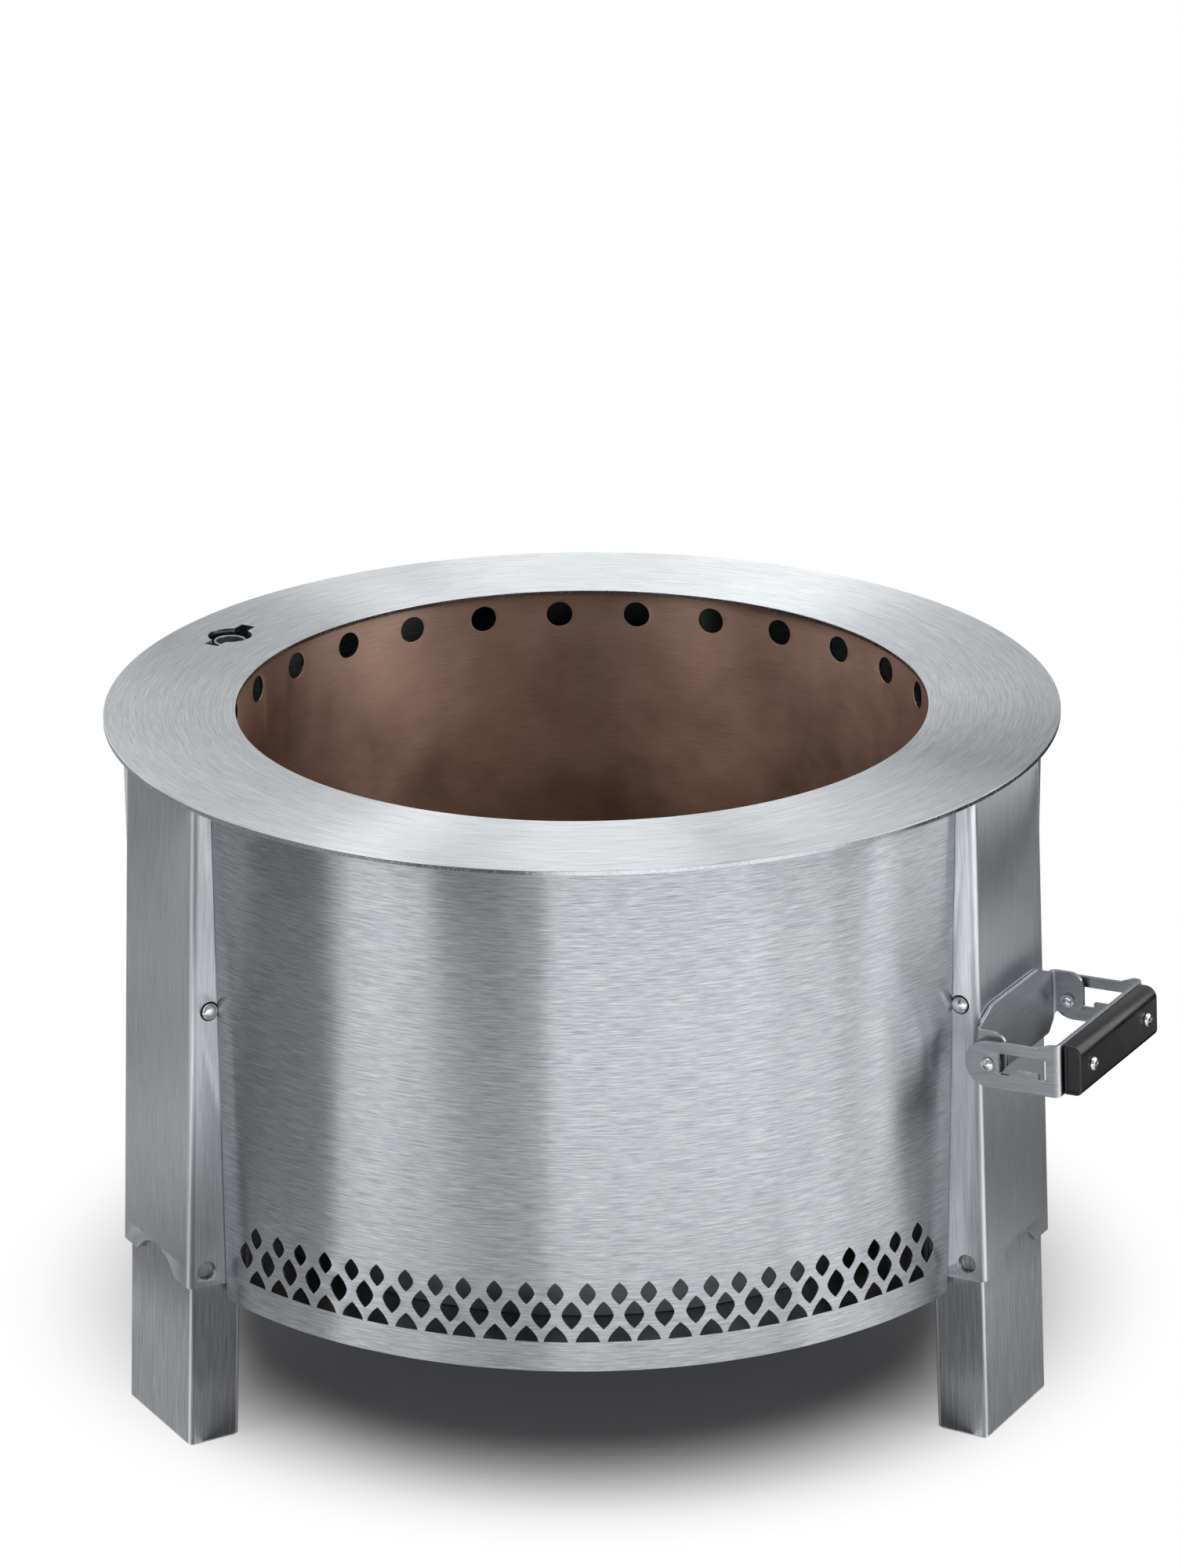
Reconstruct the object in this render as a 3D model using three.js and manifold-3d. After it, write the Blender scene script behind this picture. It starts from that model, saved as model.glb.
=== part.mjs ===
// Smokeless fire pit: a burn chamber inside a vented outer shell, under one wide flat rim,
// on three splayed legs that slide into welded sleeves and lock with snap buttons.
// A folding carry handle sits on the first leg sleeve, and the rim has a socket for a
// cooking post opposite it. Millimetres, +Z up. The origin is the centre of the base
// plate's underside, and the handle points along +X.
import * as THREE from 'three';
import { mergeVertices, mergeGeometries } from 'three/addons/utils/BufferGeometryUtils.js';
import Module from 'manifold-3d';

const wasm = await Module();
wasm.setup();

// Driving dimensions
const rimRadius = 280;
const rimTop = 301.3;
const standHeight = 93;
const legSplayAngle = THREE.MathUtils.degToRad(2.58);

// Clearances shared by all pieces
const seatGap = 0.3;
const slideGap = 0.45;
const overrun = 6;

// Rim plate and the keyhole of its accessory socket
const rimSheet = 3;
const rimWidth = 77;
const socketInset = 34;
const socketHoleRadius = 13.3;
const socketSlotLength = 42;
const socketSlotWidth = 9.4;
const rimFacets = 72;
const keyholeFacets = 24;

// Outer shell
const rimOverhang = 11;
const shellSheet = 1.5;
const shellSkirt = 3.5;
const shellCornerRadius = 6;

// Vent lattice in each shell panel: punched by a tool with three holes
const punchStepAngle = THREE.MathUtils.degToRad(11.13);
const punchPitchAngle = THREE.MathUtils.degToRad(3.82);
const sidePunchCount = 4;
const punchHoleCount = 3;
const cheekWidthShare = 0.94;
const cheekHeightShare = 0.25;
const topLeaf = { tip: 51, foot: 37.5, width: 9.3 };
const middleLeaf = { tip: 39.6, foot: 22.5, width: 11.2 };
const bottomLeaf = { tip: 24.3, foot: 14.6, width: 13.6 };

// Base plate
const baseSheet = 1.5;

// Burn chamber
const chamberSetBack = 5;
const chamberSheet = 2;
const chamberFacets = 54;
const airHoleFacets = 10;
const airHoleCount = 27;
const airHoleStartAngle = THREE.MathUtils.degToRad(3.67);
const upperAirRadius = 8;
const upperAirDrop = 16.3;
const lowerAirRadius = 7;
const lowerAirRise = 13;
const floorHeight = 24;
const floorSheet = 2;
const floorLip = 8;
const floorDish = 3;
const floorSlopeWidth = 85.7;

// Leg sleeves
const sleeveStandOff = 7;
const sleeveWidth = 87.3;
const sleeveSheet = 3;
const sleeveBend = 4;
const sleeveFootHeight = 7.595;
const sleeveBackSheet = 2;
const notchMargin = 19.65;
const notchRise = 12.5;
const notchFacets = 48;

// Legs
const legDepth = 32;
const legSheet = 1.5;
const legCorner = 3;
const legTopRise = 20;

// Snap buttons and their leaf springs
const buttonInset = 11.4;
const buttonDrop = 121;
const storageHoleRise = 10.1;
const buttonRadius = 5;
const buttonHoleRadius = 5.6;
const legHoleRadius = 5.5;
const buttonProud = 2.6;
const buttonDome = 2.4;
const leafLength = 90;
const leafWidth = 11.6;
const leafSheet = 0.8;
const buttonFacets = 12;
const domeStepCount = 3;
const crossHoleFacets = 16;

// Carry handle: bracket, bail, grip and their fasteners
const handleDrop = 148.4;
const handleSheet = 2.5;
const handleBend = 4;
const pivotReach = 11.8;
const bracketOverhang = 8.35;
const bracketHeadRise = 24.6;
const bracketEarRise = 17.4;
const bracketEarFall = 8;
const bracketFootFall = 19;
const bracketHeadInset = 22;
const bracketShoulderInset = 6;
const bracketFootInset = 10;
const earOverPivot = 9.2;
const earCorner = 8;
const spacerSheet = 2.4;
const spacerRadius = 7;
const bailLength = 44.2;
const bailArmRadius = 14;
const bailCrownRise = 17;
const bailRamp = 8;
const bailCrownDepth = 6;
const windowStart = 7;
const windowEnd = 36;
const windowTop = 7.5;
const windowFoot = 5;
const windowTabStart = 13.5;
const windowTabEnd = 31.5;
const windowTabFall = 1.5;
const gripShortfall = 1;
const gripDepth = 11;
const gripHeight = 30;
const gripTopRadius = 7;
const gripFootRadius = 4;
const gripEndBevel = 1.2;
const gripLift = 1.5;
const pivotScrewRadius = 2.5;
const pivotHoleRadius = 3;
const screwHeadRadius = 4.3;
const screwHeadHeight = 3;
const nutRadius = 4;
const nutHeight = 4.5;
const gripScrewMargin = 15.1;
const gripScrewRadius = 2;
const gripScrewHeadRadius = 4;
const gripScrewHeadHeight = 2.6;
const headShoulderShares = [0.87, 0.55];
const headCrownShares = [0.5, 0.92];
const screwFacets = 16;

// Accessory receiver under the socket
const receiverRadius = 10;
const receiverSheet = 1.5;
const receiverClipSheet = 2;
const receiverClipWidth = 34;
const receiverClipDrops = [40, 200];
const receiverFacets = 24;

// Sizes that follow from the driving dimensions
const legCount = 3;
const openingRadius = rimRadius - rimWidth;
const socketRadius = rimRadius - socketInset;
const shellRadius = rimRadius - rimOverhang;
const shellInner = shellRadius - shellSheet;
const chamberRadius = openingRadius + chamberSetBack;
const chamberTurn = airHoleStartAngle - Math.PI / chamberFacets;
const insideShell = shellInner * Math.cos(punchPitchAngle / 2) - seatGap;
const legStep = 2 * Math.PI / legCount;
const rimUnderside = rimTop - rimSheet;
const weldedTop = rimUnderside - seatGap;
const sleeveReach = shellRadius + sleeveStandOff;
const sleeveLength = (rimUnderside - sleeveFootHeight) / Math.cos(legSplayAngle);
const legWidth = sleeveWidth - 2 * sleeveSheet - 2 * slideGap;
const sleeveDepth = sleeveSheet + legDepth + 2 * slideGap;
const legOuterInset = sleeveSheet + slideGap;
const legInnerHalf = legWidth / 2 - legSheet;
const legTopDrop = buttonDrop - legTopRise;
const storageHoleDrop = sleeveLength - storageHoleRise;
const bracketWidth = sleeveWidth + 2 * bracketOverhang;
const bailReach = pivotReach + bailLength;
const gripLength = bracketWidth - gripShortfall;
const gripScrewSpacing = gripLength - 2 * gripScrewMargin;
const spacerOuter = bracketWidth / 2 + seatGap + spacerSheet;
const bailWidth = 2 * (spacerOuter + seatGap + handleSheet);

// Finishes
const brushedSteel = new THREE.MeshStandardMaterial({ color: 0xb9bcbe, roughness: 0.35, metalness: 1 });
const legSteel = new THREE.MeshStandardMaterial({ color: 0x8c8f91, roughness: 0.4, metalness: 1 });
const tintedSteel = new THREE.MeshStandardMaterial({ color: 0x7a4a34, roughness: 0.5, metalness: 1 });
const springSteel = new THREE.MeshStandardMaterial({ color: 0x9a9a96, roughness: 0.3, metalness: 1 });
const brightSteel = new THREE.MeshStandardMaterial({ color: 0xd2d4d6, roughness: 0.2, metalness: 1 });
const blackNylon = new THREE.MeshStandardMaterial({ color: 0x1c1d1f, roughness: 0.45, metalness: 0 });

const firePit = new THREE.Group();

// A closed mesh as a solid that can be cut and joined
function solidOf(...geometries) {
  const bare = geometries.map((geometry) => {
    const copy = geometry.index ? geometry.toNonIndexed() : geometry.clone();
    copy.deleteAttribute('normal');
    copy.deleteAttribute('uv');
    return copy;
  });
  const welded = mergeVertices(mergeGeometries(bare));
  return new wasm.Manifold(new wasm.Mesh({
    numProp: 3,
    vertProperties: new Float32Array(welded.attributes.position.array),
    triVerts: new Uint32Array(welded.index.array),
  }));
}

function geometryOf(solid) {
  const { numProp, vertProperties, triVerts } = solid.getMesh();
  const positions = new Float32Array(triVerts.length * 3);
  triVerts.forEach((vertex, n) => {
    for (let axis = 0; axis < 3; axis++) {
      positions[3 * n + axis] = vertProperties[vertex * numProp + axis];
    }
  });
  const geometry = new THREE.BufferGeometry();
  geometry.setAttribute('position', new THREE.BufferAttribute(positions, 3));
  geometry.computeVertexNormals();
  return geometry;
}

function addPiece(parent, name, shape, material) {
  const geometry = shape.isBufferGeometry ? shape : geometryOf(shape);
  const mesh = new THREE.Mesh(geometry, material);
  mesh.name = name;
  parent.add(mesh);
}

function extrude(shape, depth, curveSegments = 4) {
  return new THREE.ExtrudeGeometry(shape, { depth, curveSegments, bevelEnabled: false });
}

// Turns an extrusion drawn in x and y so that it stands on a cylinder about Z:
// x runs round the cylinder, y runs up, and the depth runs outwards
function onCylinder(geometry, angle, radius, height) {
  const round = new THREE.Vector3(-Math.sin(angle), Math.cos(angle), 0);
  const up = new THREE.Vector3(0, 0, 1);
  const out = new THREE.Vector3(Math.cos(angle), Math.sin(angle), 0);
  const place = new THREE.Matrix4().makeBasis(round, up, out);
  place.setPosition(radius * out.x, radius * out.y, height);
  return geometry.applyMatrix4(place);
}

// Turns an extrusion drawn in x and z, so that its depth is centred across Y
function acrossY(geometry, depth) {
  geometry.rotateX(Math.PI / 2);
  return geometry.translate(0, depth / 2, 0);
}

// Turns an extrusion drawn in y and z, so that its depth runs along X from start
function alongX(geometry, start) {
  const place = new THREE.Matrix4().makeBasis(
    new THREE.Vector3(0, 1, 0), new THREE.Vector3(0, 0, 1), new THREE.Vector3(1, 0, 0));
  place.setPosition(start, 0, 0);
  return geometry.applyMatrix4(place);
}

// Polygon points with the same number of facets as the piece that they line
function circlePoints(radius, facets, from = 0) {
  return Array.from({ length: facets }, (_, n) => {
    const angle = from + 2 * Math.PI * n / facets;
    return new THREE.Vector2(radius * Math.cos(angle), radius * Math.sin(angle));
  });
}

// Rim plate: one flat ring with the keyhole of the accessory socket
function rimPlate() {
  const outline = new THREE.Shape(circlePoints(rimRadius, rimFacets));
  outline.holes.push(new THREE.Path(circlePoints(openingRadius, rimFacets)));
  const plate = solidOf(extrude(outline, rimSheet));
  const hole = new THREE.CylinderGeometry(
    socketHoleRadius, socketHoleRadius, rimSheet + 2 * overrun, keyholeFacets);
  hole.rotateX(Math.PI / 2);
  const slot = new THREE.BoxGeometry(socketSlotWidth, socketSlotLength, rimSheet + 2 * overrun);
  const keyhole = solidOf(hole).add(solidOf(slot));
  return plate.subtract(keyhole.translate([-socketRadius, 0, rimSheet / 2]))
    .translate([0, 0, rimUnderside]);
}

// Where each vent stands round its panel: three to a punch, the punches evenly stepped
function ventAngle(index) {
  const punch = Math.round(index / punchHoleCount);
  return punch * punchStepAngle + (index - punch * punchHoleCount) * punchPitchAngle;
}

// A leaf: pointed at top and foot, with steep cheeks
function leafShape({ tip, foot, width }) {
  const middle = (tip + foot) / 2;
  const rise = cheekHeightShare * (tip - middle);
  const cheek = cheekWidthShare * width / 2;
  return new THREE.Shape([
    [0, foot], [cheek, middle - rise], [cheek, middle + rise],
    [0, tip], [-cheek, middle + rise], [-cheek, middle - rise],
  ].map(([x, y]) => new THREE.Vector2(x, y)));
}

// The upper half of a leaf, cut off flat at its widest
function halfLeafShape({ tip, foot, width }) {
  const rise = cheekHeightShare * (tip - foot);
  const cheek = cheekWidthShare * width / 2;
  return new THREE.Shape([
    [width / 2, foot], [cheek, foot + rise], [0, tip], [-cheek, foot + rise], [-width / 2, foot],
  ].map(([x, y]) => new THREE.Vector2(x, y)));
}

// Rounds a lower corner of a panel, at the panel's start or at its end
function cornerCutter(isStart) {
  const radius = isStart ? shellCornerRadius : -shellCornerRadius;
  const outside = isStart ? -overrun : overrun;
  const cutter = new THREE.Shape();
  cutter.moveTo(outside, -overrun);
  cutter.lineTo(radius, -overrun);
  cutter.lineTo(radius, 0);
  cutter.quadraticCurveTo(0, 0, 0, shellCornerRadius);
  cutter.lineTo(outside, shellCornerRadius);
  return cutter;
}

// One of the three rolled panels of the outer shell, between two leg sleeves
function shellPanel(middleAngle) {
  const sleeveHalf = sleeveWidth / 2 + seatGap;
  const panelEnd = legStep / 2 - Math.asin(sleeveHalf / shellInner);
  const lastHole = punchHoleCount * sidePunchCount;
  const between = (index) => (ventAngle(index - 1) + ventAngle(index)) / 2;
  const edges = [-panelEnd];
  for (let index = -lastHole; index <= lastHole + 1; index++) edges.push(between(index));
  edges.push(panelEnd);
  const at = (radius, angle) => new THREE.Vector2(
    radius * Math.cos(middleAngle + angle), radius * Math.sin(middleAngle + angle));
  const section = new THREE.Shape([
    ...edges.map((angle) => at(shellRadius, angle)),
    ...edges.toReversed().map((angle) => at(shellInner, angle)),
  ]);
  const panel = solidOf(extrude(section, weldedTop + shellSkirt)
    .translate(0, 0, -shellSkirt));

  const cutters = [];
  const depth = shellSheet + 2 * overrun;
  const cut = (shape, angle, height) => cutters.push(
    onCylinder(extrude(shape, depth), middleAngle + angle, shellInner - overrun, height));
  for (let index = -lastHole; index <= lastHole; index++) {
    cut(leafShape(topLeaf), ventAngle(index), 0);
    cut(halfLeafShape(bottomLeaf), ventAngle(index), 0);
  }
  for (let index = -lastHole; index <= lastHole + 1; index++) {
    cut(leafShape(middleLeaf), between(index), 0);
  }
  cut(cornerCutter(true), -panelEnd, -shellSkirt);
  cut(cornerCutter(false), panelEnd, -shellSkirt);
  return cutters.reduce((solid, cutter) => solid.subtract(solidOf(cutter)), panel);
}

// Base plate: closes the shell, with a notch for each leg to pass
function basePlate() {
  const disc = solidOf(
    extrude(new THREE.Shape(circlePoints(insideShell, rimFacets)), baseSheet));
  const legInner = sleeveReach + rimUnderside * Math.tan(legSplayAngle)
    - (legOuterInset + legDepth) / Math.cos(legSplayAngle);
  const notchStart = legInner - 2 * slideGap;
  const notchDepth = shellRadius + overrun - notchStart;
  let plate = disc;
  for (let n = 0; n < legCount; n++) {
    const notch = new THREE.BoxGeometry(notchDepth, legWidth + 4 * slideGap, baseSheet + 2 * overrun);
    notch.translate(notchStart + notchDepth / 2, 0, baseSheet / 2);
    notch.rotateZ(n * legStep);
    plate = plate.subtract(solidOf(notch));
  }
  return plate;
}

// Burn chamber: a rolled wall with air holes above the floor and just under the rim
function burnChamber() {
  const inner = chamberRadius - chamberSheet;
  const bottom = baseSheet + seatGap;
  const section = new THREE.Shape(circlePoints(chamberRadius, chamberFacets, chamberTurn));
  section.holes.push(new THREE.Path(circlePoints(inner, chamberFacets, chamberTurn)));
  let wall = solidOf(extrude(section, weldedTop - bottom).translate(0, 0, bottom));
  const ringOfHoles = (radius, height) => {
    for (let n = 0; n < airHoleCount; n++) {
      const shape = new THREE.Shape(circlePoints(radius, airHoleFacets));
      const cutter = extrude(shape, chamberSheet + 2 * overrun);
      const angle = airHoleStartAngle + 2 * Math.PI * n / airHoleCount;
      wall = wall.subtract(solidOf(onCylinder(cutter, angle, inner - overrun, height)));
    }
  };
  ringOfHoles(upperAirRadius, rimTop - upperAirDrop);
  ringOfHoles(lowerAirRadius, floorHeight + floorSheet + lowerAirRise);
  return wall;
}

// Chamber floor: a shallow dished disc with a turned-up lip, welded inside the wall
function chamberFloor() {
  const radius = chamberRadius - chamberSheet - seatGap;
  const flat = radius - floorSlopeWidth;
  const profile = [
    [0, 0], [flat, 0], [radius, floorDish], [radius, floorDish + floorLip],
    [radius - floorSheet, floorDish + floorLip], [radius - floorSheet, floorDish + floorSheet],
    [flat, floorSheet], [0, floorSheet],
  ].map(([x, y]) => new THREE.Vector2(x, y));
  const floor = new THREE.LatheGeometry(profile, chamberFacets);
  floor.rotateX(Math.PI / 2);
  floor.rotateZ(Math.PI / 2 + chamberTurn);
  return solidOf(floor.translate(0, 0, floorHeight - floorDish));
}

// Channel section, open towards -X, with its web's outer face on x = 0
function channelShape(width, depth, sheet, bend) {
  const half = width / 2;
  const inner = bend - sheet;
  const shape = new THREE.Shape();
  shape.moveTo(-depth, -half);
  shape.lineTo(-bend, -half);
  shape.absarc(-bend, bend - half, bend, -Math.PI / 2, 0, false);
  shape.absarc(-bend, half - bend, bend, 0, Math.PI / 2, false);
  shape.lineTo(-depth, half);
  shape.lineTo(-depth, half - sheet);
  shape.absarc(-bend, half - bend, inner, Math.PI / 2, 0, true);
  shape.absarc(-bend, bend - half, inner, 0, -Math.PI / 2, true);
  shape.lineTo(-depth, sheet - half);
  return shape;
}

function roundedBox(shape, halfX, halfY, radius) {
  shape.moveTo(halfX, radius - halfY);
  shape.absarc(halfX - radius, halfY - radius, radius, 0, Math.PI / 2, false);
  shape.absarc(radius - halfX, halfY - radius, radius, Math.PI / 2, Math.PI, false);
  shape.absarc(radius - halfX, radius - halfY, radius, Math.PI, 1.5 * Math.PI, false);
  shape.absarc(halfX - radius, radius - halfY, radius, 1.5 * Math.PI, 2 * Math.PI, false);
  return shape;
}

// Frame of one leg: X out of the sleeve's web, Z up along the leg, origin on the web
// under the rim. Everything on a leg is drawn in it.
function legFrame(index) {
  const turned = new THREE.Group();
  turned.rotation.z = index * legStep;
  const leaned = new THREE.Group();
  leaned.position.set(sleeveReach, 0, rimUnderside);
  leaned.rotation.y = -legSplayAngle;
  turned.add(leaned);
  firePit.add(turned);
  return leaned;
}

// A block with a level face, drawn in the leg frame, that takes off what reaches past it
function levelCutter(height, isAbove) {
  const size = 2 * (legDepth + sleeveWidth + bracketWidth);
  const box = new THREE.BoxGeometry(size, size, size);
  box.translate(sleeveReach, 0, isAbove ? height + size / 2 : height - size / 2);
  const leaned = new THREE.Matrix4().makeRotationY(-legSplayAngle);
  leaned.setPosition(sleeveReach, 0, rimUnderside);
  return solidOf(box.applyMatrix4(leaned.invert()));
}

function crossHole(radius, drop) {
  const hole = new THREE.CylinderGeometry(
    radius, radius, sleeveWidth + 2 * overrun, crossHoleFacets);
  return solidOf(hole.translate(-buttonInset, 0, -drop));
}

// Leg sleeve: a channel folded from sheet, welded to the panels and the rim
function legSleeve() {
  const channel = channelShape(sleeveWidth, sleeveDepth, sleeveSheet, sleeveBend);
  const length = sleeveLength + overrun;
  const notchHalfWidth = sleeveWidth / 2 - notchMargin;
  const notchRadius = (notchHalfWidth ** 2 + notchRise ** 2) / (2 * notchRise);
  const notch = new THREE.CylinderGeometry(notchRadius, notchRadius, 2 * legOuterInset, notchFacets);
  notch.rotateZ(Math.PI / 2);
  notch.translate(0, 0, notchRise - notchRadius - sleeveLength);
  return solidOf(extrude(channel, length).translate(0, 0, -sleeveLength))
    .subtract(levelCutter(weldedTop, true))
    .subtract(solidOf(notch))
    .subtract(crossHole(buttonHoleRadius, buttonDrop))
    .subtract(crossHole(buttonHoleRadius, storageHoleDrop));
}

// Back of the sleeve: a flat strip welded across the channel, inside the shell
function sleeveBack() {
  const length = sleeveLength + overrun;
  const strip = new THREE.BoxGeometry(sleeveBackSheet, sleeveWidth, length);
  const inset = sleeveDepth + seatGap + sleeveBackSheet / 2;
  strip.translate(-inset, 0, length / 2 - sleeveLength);
  return solidOf(strip).subtract(levelCutter(weldedTop, true));
}

// Leg: a rectangular tube, cut level at the foot
function leg() {
  const section = roundedBox(new THREE.Shape(), legDepth / 2, legWidth / 2, legCorner);
  section.holes.push(roundedBox(
    new THREE.Path(), legDepth / 2 - legSheet, legInnerHalf, legCorner - legSheet));
  const footDrop = rimUnderside + standHeight;
  const length = footDrop + overrun - legTopDrop;
  const tube = extrude(section, length);
  tube.translate(-legOuterInset - legDepth / 2, 0, -legTopDrop - length);
  return solidOf(tube)
    .subtract(levelCutter(-standHeight, false))
    .subtract(crossHole(legHoleRadius, buttonDrop));
}

// Snap button: a short domed pin about Y, carried by the leaf spring. side is 1 or -1
function snapButton(side) {
  const outside = sleeveWidth / 2;
  const domeStart = outside + buttonProud - buttonDome;
  const profile = [
    new THREE.Vector2(0, legInnerHalf),
    new THREE.Vector2(buttonRadius, legInnerHalf),
  ];
  for (let step = 0; step <= domeStepCount; step++) {
    const angle = Math.PI / 2 * step / domeStepCount;
    profile.push(new THREE.Vector2(
      step < domeStepCount ? buttonRadius * Math.cos(angle) : 0,
      domeStart + buttonDome * Math.sin(angle)));
  }
  const button = new THREE.LatheGeometry(profile, buttonFacets);
  if (side < 0) button.rotateZ(Math.PI);
  return solidOf(button.translate(-buttonInset, 0, -buttonDrop));
}

// Leaf spring: a strip along the inside of the leg's side wall, welded to it at the foot,
// with a round head that covers the button's hole and so stops it
function leafSpring(side) {
  const half = leafWidth / 2;
  const outline = new THREE.Shape();
  outline.moveTo(-half, -leafLength);
  outline.lineTo(half, -leafLength);
  outline.absarc(0, 0, half, 0, Math.PI, false);
  const strip = acrossY(extrude(outline, leafSheet), leafSheet);
  const middle = legInnerHalf - seatGap - leafSheet / 2;
  return solidOf(strip.translate(-buttonInset, side * middle, -buttonDrop));
}

// Handle bracket: a plate on the sleeve's web with an ear bent out at each side
function handleBracket() {
  const base = seatGap;
  const earReach = pivotReach + earOverPivot;
  const height = bracketHeadRise + bracketFootFall;
  const channel = extrude(
    channelShape(bracketWidth, earReach - base, handleSheet, handleBend), height);
  channel.rotateZ(Math.PI);
  channel.translate(base, 0, -handleDrop - bracketFootFall);

  const half = bracketWidth / 2;
  const footHalf = half - bracketFootInset;
  const shoulderHalf = half - bracketShoulderInset;
  const headHalf = half - bracketHeadInset;
  const face = new THREE.Shape([
    [-half, bracketEarRise], [-half, -bracketEarFall],
    [-footHalf, -bracketFootFall], [footHalf, -bracketFootFall],
    [half, -bracketEarFall], [half, bracketEarRise],
    [shoulderHalf, bracketEarRise], [headHalf, bracketHeadRise],
    [-headHalf, bracketHeadRise], [-shoulderHalf, bracketEarRise],
  ].map(([y, z]) => new THREE.Vector2(y, z - handleDrop)));
  const faceBlank = alongX(extrude(face, earReach + 2 * overrun), -overrun);

  const low = -handleDrop - bracketEarFall;
  const high = -handleDrop + bracketEarRise;
  const side = new THREE.Shape();
  side.moveTo(-overrun, low - overrun - bracketFootFall);
  side.lineTo(base + handleSheet + handleBend / 2, low - overrun - bracketFootFall);
  side.lineTo(base + handleSheet + handleBend / 2, low);
  side.lineTo(earReach - earCorner, low);
  side.absarc(earReach - earCorner, low + earCorner, earCorner, -Math.PI / 2, 0, false);
  side.absarc(earReach - earCorner, high - earCorner, earCorner, 0, Math.PI / 2, false);
  side.lineTo(base + handleSheet + handleBend / 2, high);
  side.lineTo(base + handleSheet + handleBend / 2, high + overrun + bracketHeadRise);
  side.lineTo(-overrun, high + overrun + bracketHeadRise);
  const sideBlank = acrossY(extrude(side, bracketWidth + 2 * overrun), bracketWidth + 2 * overrun);

  return solidOf(channel)
    .intersect(solidOf(faceBlank))
    .intersect(solidOf(sideBlank))
    .subtract(pivotHole(pivotScrewRadius + seatGap));
}

function pivotHole(radius) {
  const hole = new THREE.CylinderGeometry(
    radius, radius, bailWidth + 2 * overrun, screwFacets);
  return solidOf(hole.translate(pivotReach, 0, -handleDrop));
}

// Bail: one strip bent to a U, with round arm ends and a stepped window in each arm
function handleBail() {
  const depth = bailReach - pivotReach + bailArmRadius;
  const height = bailArmRadius + bailCrownRise;
  const strip = extrude(channelShape(bailWidth, depth, handleSheet, handleBend), height);
  strip.translate(bailReach, 0, -handleDrop - bailArmRadius);

  const side = new THREE.Shape();
  const rampStart = bailReach - bailCrownDepth - bailRamp;
  side.moveTo(pivotReach, -handleDrop - bailArmRadius);
  side.lineTo(bailReach + overrun, -handleDrop - bailArmRadius);
  side.lineTo(bailReach + overrun, bailCrownRise - handleDrop);
  side.lineTo(bailReach - bailCrownDepth, bailCrownRise - handleDrop);
  side.lineTo(rampStart, bailArmRadius - handleDrop);
  side.absarc(pivotReach, -handleDrop, bailArmRadius, Math.PI / 2, 1.5 * Math.PI, false);
  const sideBlank = acrossY(extrude(side, bailWidth + 2 * overrun, 12), bailWidth + 2 * overrun);

  const windowPoints = [
    [windowStart, windowTop], [windowStart, -windowFoot], [windowTabStart, -windowFoot],
    [windowTabStart, -windowTabFall], [windowTabEnd, -windowTabFall],
    [windowTabEnd, -windowFoot], [windowEnd, -windowFoot], [windowEnd, windowTop],
  ].map(([x, z]) => new THREE.Vector2(pivotReach + x, z - handleDrop));
  const windowCutter = acrossY(
    extrude(new THREE.Shape(windowPoints), bailWidth + 2 * overrun), bailWidth + 2 * overrun);

  return solidOf(strip)
    .intersect(solidOf(sideBlank))
    .subtract(solidOf(windowCutter))
    .subtract(pivotHole(pivotHoleRadius))
    .subtract(gripScrewHoles(gripScrewRadius + seatGap));
}

function gripScrewHoles(radius) {
  const holes = [-1, 1].map((side) => {
    const hole = new THREE.CylinderGeometry(
      radius, radius, 2 * (gripDepth + overrun), screwFacets);
    hole.rotateZ(Math.PI / 2);
    return hole.translate(bailReach, side * gripScrewSpacing / 2, gripLift - handleDrop);
  });
  return solidOf(...holes);
}

// Grip: a moulded D-section bar with softened ends, screwed to the bail
function handleGrip() {
  const bevel = gripEndBevel;
  const low = -gripHeight / 2 + bevel;
  const high = gripHeight / 2 - bevel;
  const back = bevel;
  const front = gripDepth - bevel;
  const shape = new THREE.Shape();
  shape.moveTo(back, low);
  shape.absarc(front - gripFootRadius, low + gripFootRadius, gripFootRadius, -Math.PI / 2, 0, false);
  shape.absarc(front - gripTopRadius, high - gripTopRadius, gripTopRadius, 0, Math.PI / 2, false);
  shape.lineTo(back, high);
  const depth = gripLength - 2 * bevel;
  const bar = new THREE.ExtrudeGeometry(shape, {
    depth, curveSegments: 5, bevelEnabled: true, bevelSize: bevel, bevelThickness: bevel, bevelSegments: 2,
  });
  acrossY(bar, depth).translate(bailReach + seatGap, 0, gripLift - handleDrop);
  return solidOf(bar).subtract(gripScrewHoles(gripScrewRadius + seatGap));
}

// A domed screw head: its profile from the rim of its seat to the middle of its crown
function headProfile(radius, height, seat) {
  return [
    [radius, seat],
    ...headShoulderShares.map((share, n) => [radius * share, seat + height * headCrownShares[n]]),
    [0, seat + height],
  ];
}

// A turned piece about Y at the pivot, pointing outwards on either side
function turnedAtPivot(points, side) {
  const profile = points.map(([radius, y]) => new THREE.Vector2(radius, y));
  const piece = new THREE.LatheGeometry(profile, screwFacets);
  if (side < 0) piece.rotateZ(Math.PI);
  return solidOf(piece.translate(pivotReach, 0, -handleDrop));
}

// Pivot screw: pan head outside the arm, its shank through arm, spacer and ear
function pivotScrew(side) {
  const seat = bailWidth / 2 + seatGap;
  const end = bracketWidth / 2 - handleSheet - nutHeight / 2;
  return turnedAtPivot([
    [0, end], [pivotScrewRadius, end], [pivotScrewRadius, seat],
    ...headProfile(screwHeadRadius, screwHeadHeight, seat),
  ], side);
}

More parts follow.
